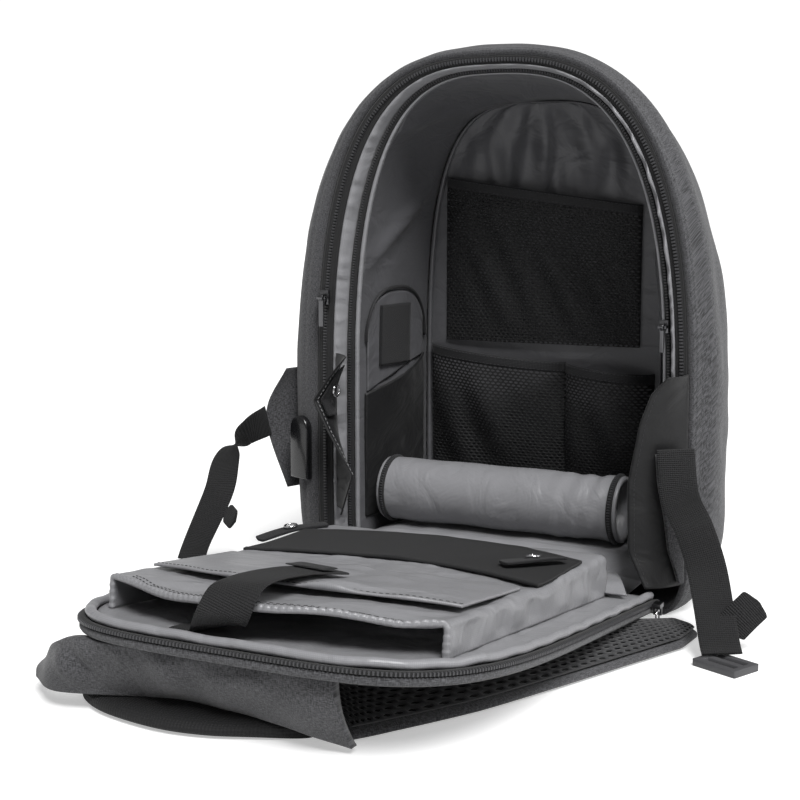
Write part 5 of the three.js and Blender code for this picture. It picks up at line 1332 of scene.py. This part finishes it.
TAB_WIDTH = 15
TAB_THICKNESS = 2.2
TABS = {
    "left": {"wide": (1, -0.2, 0.05), "rows": [(-0.93, 0.14, -1.2), (-1.1, 0.2, -4), (-1.24, 0.26, -10)]},
    "right": {"wide": (1, 0.7, 0.02), "rows": [(0.6, 0.34, 1.8), (0.75, 0.295, 2.4), (0.9, 0.25, 2.4)]},
}
tab_lift = GAP + BAND_THICKNESS + GAP + TAB_THICKNESS / 2
for side, tab in TABS.items():
    stations = [(on_sleeve(across * SLEEVE_HALF_WIDTH, along * PANEL_LENGTH, tab_lift + rise), tab["wide"])
                for across, along, rise in tab["rows"]]
    hand_over(flat_strap(f"hook_tab_{side}_pile", stations, TAB_WIDTH, TAB_THICKNESS, pile, ends=0.12),
              "bag", "hook_loop", f"hook_tab_{side}")


# Sleeve strap: webbing from the panel's far edge, over the mouth and along the sleeve's top, with a bare
# woven label patch near its end.
SLEEVE_STRAP_WIDTH = 30
SLEEVE_STRAP_THICKNESS = 1.8
LABEL_LENGTH = 15
strap_lift = SLEEVE_STRAP_THICKNESS / 2 + GAP
over_sleeve = sleeve_foot + SLEEVE_HEIGHT + 2 * GAP + TABLET_RISE + CLOTH + strap_lift
sleeve_strap = flat_strap("sleeve_strap_webbing", [
    (on_panel(-46, PANEL_LENGTH - 32, sleeve_foot + strap_lift), (0.1, 0.99, -0.125)),
    (on_panel(-26, PANEL_LENGTH - 31, sleeve_foot + strap_lift + 1), (0.2, 0.97, -0.125)),
    (on_panel(-4, PANEL_LENGTH - 7, sleeve_foot + 15), (0.9, 0.4, -0.05)),
    (on_panel(3, SLEEVE_END + SLEEVE_MOUTH_BOW, over_sleeve + 4), (1, 0.2, 0)),
    (on_panel(-4, TABLET_END + 4, over_sleeve + 3), (1, -0.1, 0)),
    (on_panel(2, TABLET_END - 36, over_sleeve), (1, -0.2, 0)),
], SLEEVE_STRAP_WIDTH, SLEEVE_STRAP_THICKNESS, webbing_cloth, steps=110)
hand_over(sleeve_strap, "bag", "webbing", "sleeve_strap")
label_cloth = woven_cloth("woven_label_satin", "141416", 0.9, roughness=0.4)
label = flat_strap("bare_label_patch", [
    (on_panel(-3, TABLET_END - 10, over_sleeve + 4.5), (1, -0.1, 0)),
    (on_panel(-1, TABLET_END - 10 - LABEL_LENGTH, over_sleeve + 4.0), (1, -0.12, 0)),
], SLEEVE_STRAP_WIDTH, 1.2, label_cloth, steps=12)
hand_over(label, "bag", "black_cloth", "strap_label")


# Gussets: black nylon webs between the opening's edge and the panel, folded out. Their free edges are bound
# and stitched; the left one carries a hook strip and a ring snap.
GUSSET_BOW = 3
GUSSET_SLACK = 0.35
GUSSETS = {
    "left": {"foot": 58, "top": 188, "base": -1, "reach": 30, "side": -1, "half": SEAM_LEFT, "rows": [
        (0, 0.857, 0.73), (0.26, 0.857, 0.66), (0.52, 0.857, 0.8), (0.72, 0.857, 0.89), (0.87, 0.857, 0.8),
        (1, 0.855, 0.7)]},
    "right": {"foot": 26, "top": 186, "base": -0.45, "reach": 26, "side": 1, "half": SEAM_RIGHT, "rows": [
        (0, 0.975, 0.85), (0.17, 0.985, 0.77), (0.49, 0.985, 0.76), (0.78, 0.984, 0.81), (0.92, 0.98, 0.86),
        (1, 0.976, 0.93)]},
}


def on_gusset(gusset, v, u, off):
    """A place on a gusset: a share of its height, a share from its base to its free edge, and how far off."""
    v, u, off = (np.asarray(value, float) for value in np.broadcast_arrays(v, u, off))
    steps = np.linspace(0, 1, len(gusset["rows"]))
    height, base, edge = (np.interp(v, steps, column) for column in np.array(gusset["rows"]).T)
    z = between(gusset["foot"], gusset["top"], height)
    base, edge = gusset["side"] * gusset["half"] * base, gusset["side"] * gusset["half"] * edge
    run = unit(np.stack([edge - base, np.full_like(base, -gusset["reach"])], -1))
    bow = GUSSET_BOW * np.sin(math.pi * u)
    x = base + (edge - base) * u - (off + bow) * run[..., 1]
    y = gusset["base"] - gusset["reach"] * u + (off + bow) * run[..., 0]
    return np.stack([x, y, z], -1)


pale_thread = plain_material("pale_sewing_thread", "8d8d8f", 0.8)
for side, gusset in GUSSETS.items():
    v, u = share_grid(70, 24)
    slack = GUSSET_SLACK * ripples(70 * v, 30 * u, 22, 121 + len(side)) * np.sin(math.pi * u)
    face, back = on_gusset(gusset, v, u, CLOTH + slack), on_gusset(gusset, v, u, 0.2)
    hand_over(closed_sheet(f"gusset_{side}_cloth", face, back, black_nylon), "bag", "black_cloth",
              f"gusset_{side}")
    edge_v = np.linspace(0.02, 0.98, 80)
    edge = on_gusset(gusset, edge_v, 0.9, CLOTH + 0.15)
    thread = pale_thread if side == "left" else dark_thread
    stitches = stitch_row(f"gusset_{side}_stitches", edge, (-gusset["side"], -0.1, 0), *GUSSET_STITCH, thread)
    hand_over(stitches, "bag", "black_cloth")
v, u = np.meshgrid(np.linspace(0.5, 0.9, 30), np.linspace(0.45, 0.85, 12), indexing="ij")
strip_foot = CLOTH + 4 * GAP
strip_face, strip_back = (on_gusset(GUSSETS["left"], v, u, strip_foot + lift) for lift in (CLOTH, 0))
hook_strip = closed_sheet("gusset_hook_strip_pile", strip_face, strip_back, pile)
hand_over(hook_strip, "bag", "hook_loop", "gusset_hook_strip")


# Wings and lower webbing: triangles of heather hold ribbed webbing that runs down to the ends of the
# shoulder straps.
WING_THICKNESS = 4
WEBBING_WIDTH = 28
WEBBING_THICKNESS = 1.8
LEFT_WING = [(67, 184.8, 190), (112, 186.8, 208), (139, 187.3, 209), (171, 186.3, 190)]  # height, base, tip
LEFT_WING_FRONT = 26
LEFT_WING_SWEEP = 14
v, u = share_grid(40, 14)
wing_height, wing_base, wing_tip = curve_through(LEFT_WING, v[:, 0]).T[:, :, None]
wing_x = -between(wing_base, wing_tip, u)
wing_face = np.stack(np.broadcast_arrays(wing_x, LEFT_WING_FRONT - LEFT_WING_SWEEP * u, wing_height), -1)
wing = closed_sheet("wing_left_cloth", wing_face, wing_face + (0, WING_THICKNESS, 0), heather)
hand_over(wing, "bag", "heather", "wing_left")

RIGHT_WING = [(0.02, 0.06, 0.2), (0.3, 0.05, 0.42), (0.5, 0.055, 0.64)]
wing_foot = CLOTH + 2 * GAP
wing_v, wing_from, wing_to = (
    np.interp(v, np.linspace(0, 1, 3), column) for column in np.array(RIGHT_WING, float).T)
wing_share = between(wing_from, wing_to, u)
wing_face, wing_back = (
    on_gusset(GUSSETS["right"], wing_v, wing_share, wing_foot + lift) for lift in (WING_THICKNESS, 0))
wing = closed_sheet("wing_right_cloth", wing_face, wing_back, heather)
hand_over(wing, "bag", "heather", "wing_right")
hand_over(flat_strap("webbing_left_strap", [
    ((-206.4, 7.8, 125), (0.1, 0.1, 1)),
    ((-214, -14, 117), (0.35, 0.1, 0.95)),
    ((-224, -30, 98), (0.75, 0.25, 0.5)),
    ((-220, -50, 72), (1, 0.15, 0.1)),
    ((-226, -74, 34), (1, -0.1, 0)),
    ((-226, -84, 20.2), (1, -0.1, 0)),
], WEBBING_WIDTH, WEBBING_THICKNESS, webbing_cloth, steps=100), "bag", "webbing", "webbing_left")
webbing_seat = wing_foot + WING_THICKNESS + GAP + WEBBING_THICKNESS + 2 * GAP
hand_over(flat_strap("webbing_right_strap", [
    (on_gusset(GUSSETS["right"], 0.52, 0.34, webbing_seat), (0.8, 0.55, 0.25)),
    ((168, -29, 99), (0.9, 0.35, 0.15)),
    ((181, -37, 78), (1, 0.2, 0)),
    ((194, -50, 54), (1, 0, -0.15)),
    ((206, -73, 30), (1, 0.2, -0.15)),
    ((214, -89, 13), (1, 0.4, 0)),
    ((218, -97, 7.2), (1, 0.4, 0)),
], WEBBING_WIDTH, WEBBING_THICKNESS, webbing_cloth, steps=100), "bag", "webbing", "webbing_right")


# Shoulder straps: curved foam straps laid out on the floor, heather below and air mesh with rows of diamond
# holes above, bound round the edge. They run from the yoke under the panel round to the lower webbing.
STRAP_WIDTH = 62
STRAP_FOAM = 7.5
STRAP_NET_PITCH = (7.6, 5.4)  # the real holes lie about 5 by 3.5 mm apart, drawn larger so that they show
STRAP_NET = (0.9, 0.34)  # its thickness, and the share of a cell that its threads take
STRAP_NET_CROWN = 1.6
STRAP_NET_MARGIN = 3.0
STRAP_BACKING = (0.9, 3.4)  # the mesh's backing: height above the foam, and margin at its sides
# Rows of across and along, as shares of the panel's half width and length, then width, rise of the raised
# edge and lift as shares of the strap's width. raised says which edge it is.
STRAPS = {
    "right": {"raised": 1, "rows": [
        (0.245, 0.858, 0.9, 0.26, 0), (0.34, 0.8, 0.9, 0.24, 0), (0.53, 0.66, 1, 0.2, 0),
        (0.69, 0.52, 1, 0.12, 0), (0.83, 0.39, 1, 0.05, 0), (0.96, 0.27, 1, 0.03, 0),
        (1.08, 0.18, 0.9, 0.02, 0), (1.17, 0.115, 0.5, 0, 0)]},
    "left": {"raised": -1, "rows": [
        (-0.4, 0.79, 0.9, 0.14, 0), (-0.58, 0.66, 1, 0.12, 0), (-0.8, 0.53, 1, 0.06, 0),
        (-1.05, 0.41, 1, 0.02, 0), (-1.3, 0.31, 1, 0, 0.04), (-1.46, 0.23, 0.86, 0, 0.1),
        (-1.52, 0.17, 0.5, 0, 0.12)]},
}


def strap_place(strap, share, wide, height, margin=0.0):
    """A place on a strap: a share along it, from -1 to 1 across it, and a height above its foot."""
    rows = np.array(strap["rows"], float)
    spread = np.broadcast_arrays(share, wide, height)
    share, wide, height = (np.ravel(value).astype(float) for value in spread)
    line = rows[:, :2] * (PANEL_HALF_WIDTH, -PANEL_LENGTH)
    middle = curve_through(line, share)
    ahead, behind = (curve_through(line, np.clip(share + step, 0, 1)) for step in (0.01, -0.01))
    run = unit(ahead - behind)
    steps = np.linspace(0, 1, len(rows))
    full = np.interp(share, steps, rows[:, 2]) * STRAP_WIDTH / 2
    rise = np.interp(share, steps, rows[:, 3]) * STRAP_WIDTH
    lift = np.interp(share, steps, rows[:, 4]) * STRAP_WIDTH
    off = wide * (full - margin)
    x, y = middle[:, 0] - run[:, 1] * off, middle[:, 1] + run[:, 0] * off
    z = height + lift + rise * (1 + off * strap["raised"] / full) * 0.5
    return np.stack([x, y, z], -1).reshape(*spread[0].shape, 3)


air_mesh = plain_material("air_mesh_thread", "29292b", 0.8, Sheen_Weight=0.2)
mesh_backing = woven_cloth("black_mesh_backing", "0d0d0e", 1.6, roughness=1.0)
for side, strap in STRAPS.items():
    share = np.linspace(0, 1, 110)[:, None]
    turn = full_turn(28)[None, :]
    c, s = superellipse(turn, 3.2)
    foam_height = np.maximum(STRAP_FOAM * (0.5 + 0.5 * s) - 0.12, 0)
    foam = loft(f"strap_{side}_foam", strap_place(strap, share, c, foam_height), heather)
    hand_over(foam, "bag", "heather", f"strap_{side}")
    backing_rings = strap_place(strap, share, c, STRAP_FOAM + STRAP_BACKING[0] + 0.5 * s, STRAP_BACKING[1])
    backing = loft(f"strap_{side}_mesh_backing", backing_rings, mesh_backing)
    hand_over(backing, "bag", "mesh")

    def mesh_place(along, across, off, strap=strap):
        """A place on the air mesh: crowned across, and pulled down at its bound edges."""
        wide = 2 * across - 1
        crown = (2 - np.abs(wide) ** 5) * STRAP_NET_CROWN
        return strap_place(strap, along, wide, STRAP_FOAM + crown - off, STRAP_NET_MARGIN)

    middle_line = strap_place(strap, np.linspace(0, 1, 60), 0.0, 0.0)
    net_size = (distances(middle_line)[-1], STRAP_WIDTH - 6)
    net = net_piece(f"strap_{side}_air_mesh", mesh_place, *net_size, STRAP_NET_PITCH, *STRAP_NET, air_mesh)
    hand_over(net, "bag", "mesh", f"strap_net_{side}")


# Air-mesh pad on the outside of the back panel, seen between the panel's edge and the straps.
BACK_PAD_START = 129
back_pad_levels = (pad_top, pad_top - BACK_PAD_THICKNESS + 1)
back_pad = panel_sheet("back_pad_foam", BACK_PAD_START, BACK_PAD_INSET, back_pad_levels, mesh_backing)
hand_over(back_pad, "bag", "mesh", "panel_back_pad")


# Yoke: the harness's outer cloth comes from under the panel's far edge and curls back to the floor, in heavy
# soft folds, with an upright seam. A black padded end in fine mesh lies under it.
YOKE_THICKNESS = 6
YOKE_PAD_HEIGHT = 11
YOKE_FOLDS = 3.0
YOKE_WRINKLES = 1.1
YOKE_SEAM = (-76, 1.6, 1.6)  # where the upright seam is, how wide and how deep
YOKE_CREASES = [((-128, 4), (-112, 40), 6, 4.0), ((-118, 2), (-100, 34), 4, -3.0)]
YOKE_FOLD_DEPTH = 3.0
YOKE_DROP = 44  # the cloth's height, by which creases are placed
YOKE_TIP_FROM = -0.72  # from here to the left the top edge falls off and the end turns round, as shares
YOKE_TIP_LENGTH = 0.35
YOKE_TIP_DROP = 24
YOKE_TIP_BULGE = 7
YOKE_ROWS = [
    (-1.07, 0.86, 0.9, 12), (-0.9, 0.945, 0.94, 12), (-0.68, 0.968, 0.925, 12), (-0.4, 0.97, 0.885, 12),
    (-0.13, 0.97, 0.89, 12), (0.1, 0.97, 0.905, 11.6), (0.32, 0.97, 0.915, 9), (0.45, 0.965, 0.9, 4)]
u_line = np.linspace(0, 1, 150)
yoke_across, yoke_top, yoke_foot, yoke_height = curve_through(YOKE_ROWS, u_line).T
yoke_x = PANEL_HALF_WIDTH * yoke_across
top_edge = on_panel(yoke_x, PANEL_LENGTH * yoke_top, binding_foot - 4 * GAP)
v = np.linspace(0, 1, 44)[:, None]
foot_y = -PANEL_LENGTH * yoke_foot - PANEL_HINGE_Z
yoke_y = top_edge[None, :, 1] + (foot_y - top_edge[:, 1])[None, :] * v ** 2
yoke_tip = np.clip((YOKE_TIP_FROM - yoke_across) / YOKE_TIP_LENGTH, 0, 1) ** 1.6
yoke_z = top_edge[None, :, 2] + (yoke_height - top_edge[:, 2])[None, :] * v
yoke_z = yoke_z - YOKE_TIP_DROP * yoke_tip[None, :] * (1 - v)
yoke_x = yoke_x - YOKE_TIP_BULGE * np.clip(yoke_tip, 0, 1) * np.sin(math.pi * v) ** 0.7
folds = YOKE_FOLDS * ripples(yoke_x + 26 * v, 30 * v, 62, 131)
folds += YOKE_WRINKLES * ripples(yoke_x, 30 * v, 21, 132)
for start, end, width, height in YOKE_CREASES:
    folds += height * fold(yoke_x, YOKE_DROP * v, start, end, width)
seam_at, seam_width, seam_depth = YOKE_SEAM
folds -= seam_depth * np.exp(-((yoke_x - seam_at) / seam_width) ** 2)
folds = folds * np.sin(math.pi * np.clip(v, 0.02, 0.98)) ** 0.6
yoke_front = yoke_y - 0.8 - np.maximum(folds, -YOKE_FOLD_DEPTH)
yoke_face, yoke_back = (np.stack([yoke_x, y, yoke_z], -1) for y in (yoke_front, yoke_y + YOKE_THICKNESS))
yoke = closed_sheet("yoke_cloth", yoke_face, yoke_back, heather)
hand_over(yoke, "bag", "heather", "yoke")

YOKE_PAD_START = 0.862
YOKE_PAD_STEPS = 120
YOKE_PAD_ROUND = 14  # steps over which each end is rounded
YOKE_PAD_ROWS = [(-0.93, 0.885), (-0.83, 0.94), (-0.65, 0.98), (-0.37, 1.0), (-0.15, 0.99), (0.04, 0.96),
                 (0.2, 0.93), (0.25, 0.9)]
pad_across, pad_reach = curve_through(YOKE_PAD_ROWS, np.linspace(0, 1, YOKE_PAD_STEPS)).T
turn = full_turn(40)
c, s = superellipse(turn, 3)
pad_from, pad_to = -YOKE_PAD_START * PANEL_LENGTH, -PANEL_LENGTH * pad_reach
pad_half, pad_middle = (pad_from - pad_to) / 2, (pad_from + pad_to) / 2
pad_step = np.arange(YOKE_PAD_STEPS)
end_round = np.clip(np.minimum(pad_step, pad_step[::-1]) / YOKE_PAD_ROUND, 0, 1)
end_round = np.maximum(1 - (1 - end_round) ** 2.4, 0.12)
pad_y = pad_middle[:, None] + c[None, :] * pad_half[:, None]
pad_z = (YOKE_PAD_HEIGHT / 2) * (1 + s[None, :] * end_round[:, None]) - (1 - end_round[:, None]) * 2
pad_x = np.broadcast_to((PANEL_HALF_WIDTH * pad_across)[:, None], pad_y.shape)
fine_mesh = woven_cloth("fine_black_mesh", "101012", 2.2, roughness=0.8, relief=1.0, sheen=0.03)
yoke_pad = loft("yoke_end_pad", np.stack([pad_x, pad_y, pad_z], -1), fine_mesh)
hand_over(yoke_pad, "bag", "black_cloth", "yoke_pad")


# Strap tails: the loose ends of the webbing, folded and sewn into rounded tabs.
TAIL_THICKNESS = 2.4
hand_over(flat_strap("tail_left_tab", [
    ((-204.2, -63.6, 59), (0.2, 0.3, 1)),
    ((-196, -69, 56), (0.2, 0.3, 1)),
    ((-189, -74, 54), (0.2, 0.3, 1)),
], WEBBING_WIDTH * 0.6, TAIL_THICKNESS, webbing_cloth, steps=40, ends=0.3), "bag", "webbing", "tail_left")
hand_over(flat_strap("tail_right_tab", [
    ((216, -72, 16), (-0.63, -0.31, 0.7)),
    ((225, -67, 27), (-0.63, -0.31, 0.7)),
    ((234, -61, 37), (-0.63, -0.31, 0.7)),
], WEBBING_WIDTH * 0.9, TAIL_THICKNESS, webbing_cloth, steps=50, ends=0.16), "bag", "webbing", "tail_right")


# Hard fittings: the moulded charging-port hood, the grey ladder buckle, zip sliders and pulls and the ring
# snaps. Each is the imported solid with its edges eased, so it keeps its place and size.
WELD = 0.02
EASED_EDGES = math.radians(35)  # edges that turn by more than this are eased
SHARP_EDGES = math.radians(50)


def fitting(node, name, material, slot, body="bag", bevel=0.0, levels=0):
    """A hard fitting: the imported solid's own mesh, welded, eased and rounded, in its real material."""
    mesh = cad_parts[node].data.copy()
    mesh.materials.clear()
    mesh.materials.append(material)
    piece = bpy.data.objects.new(name, mesh)
    bpy.context.scene.collection.objects.link(piece)
    piece.modifiers.new("weld", "WELD").merge_threshold = WELD * MM
    if bevel:
        ease = piece.modifiers.new("ease", "BEVEL")
        ease.width = bevel * MM
        ease.segments = 3
        ease.limit_method = "ANGLE"
        ease.angle_limit = EASED_EDGES
    if levels:
        rounding = piece.modifiers.new("round", "SUBSURF")
        rounding.levels = levels
        rounding.render_levels = levels
    mesh.polygons.foreach_set("use_smooth", np.full(len(mesh.polygons), True))
    bpy.context.view_layer.update()
    made = bpy.data.meshes.new_from_object(piece.evaluated_get(bpy.context.evaluated_depsgraph_get()))
    piece.modifiers.clear()
    piece.data = made
    if bevel:
        made.set_sharp_from_angle(angle=SHARP_EDGES)
    return hand_over(piece, body, slot, node)


def moulded_plastic(name, colour, roughness, coat=0.0):
    """Moulded plastic: even colour with a very fine cast texture that breaks up its highlights a little."""
    material, tree, shader = new_material(name, {
        "Base Color": linear(colour), "Roughness": roughness, "Coat Weight": coat, "Coat Roughness": 0.08})
    place = add_node(tree, "ShaderNodeTexCoord")
    grain = add_node(tree, "ShaderNodeTexNoise", {"Vector": place.outputs["Object"], "Scale": 1800.0})
    bumped(tree, shader, 0.08, 0.1, grain.outputs["Fac"])
    return material


def plated_metal(name, colour, roughness):
    """Plated zinc: die-cast, polished or satin, with faint scuffs in its roughness."""
    material, tree, shader = new_material(name, {"Base Color": linear(colour), "Metallic": 1.0})
    place = add_node(tree, "ShaderNodeTexCoord")
    scuff = add_node(tree, "ShaderNodeTexNoise", {"Vector": place.outputs["Object"], "Scale": 400.0,
                                                  "Detail": 3.0})
    spread = add_node(tree, "ShaderNodeMapRange", {"Value": scuff.outputs["Fac"], "To Min": roughness * 0.7,
                                                   "To Max": roughness * 1.3})
    tree.links.new(spread.outputs[0], shader.inputs["Roughness"])
    return material


gloss_black = moulded_plastic("gloss_black_abs", "121214", 0.26, coat=0.3)
satin_grey = moulded_plastic("satin_grey_acetal", "4a4a4c", 0.45)
dark_plate = plated_metal("dark_plated_zinc", "6a6a6c", 0.32)
bright_plate = plated_metal("bright_plated_steel", "d6d6d8", 0.18)
fitting("charging_hood", "charging_port_hood", gloss_black, "hood_plastic", bevel=0.6)
fitting("buckle_right", "ladder_buckle_right", satin_grey, "grey_plastic", bevel=0.9)
for zip_name, body in (("main_zip", "main_pull"), ("inner_zip", "inner_pull")):
    fitting(f"{zip_name}_slider", f"{zip_name}_slider_body", dark_plate, "zip_metal", bevel=0.4)
    fitting(f"{zip_name}_pull", f"{zip_name}_pull_tab", dark_plate, "zip_metal", body, bevel=0.35)
fitting("panel_zip_slider", "panel_zip_slider_body", dark_plate, "zip_metal", bevel=0.4)
fitting("panel_zip_pull", "panel_zip_ring", bright_plate, "bright_metal", "ring_pull", levels=2)
for node in ("snap_ring_left", "snap_ring_right", "gusset_snap"):
    fitting(node, f"{node}_wire", bright_plate, "bright_metal", levels=2)
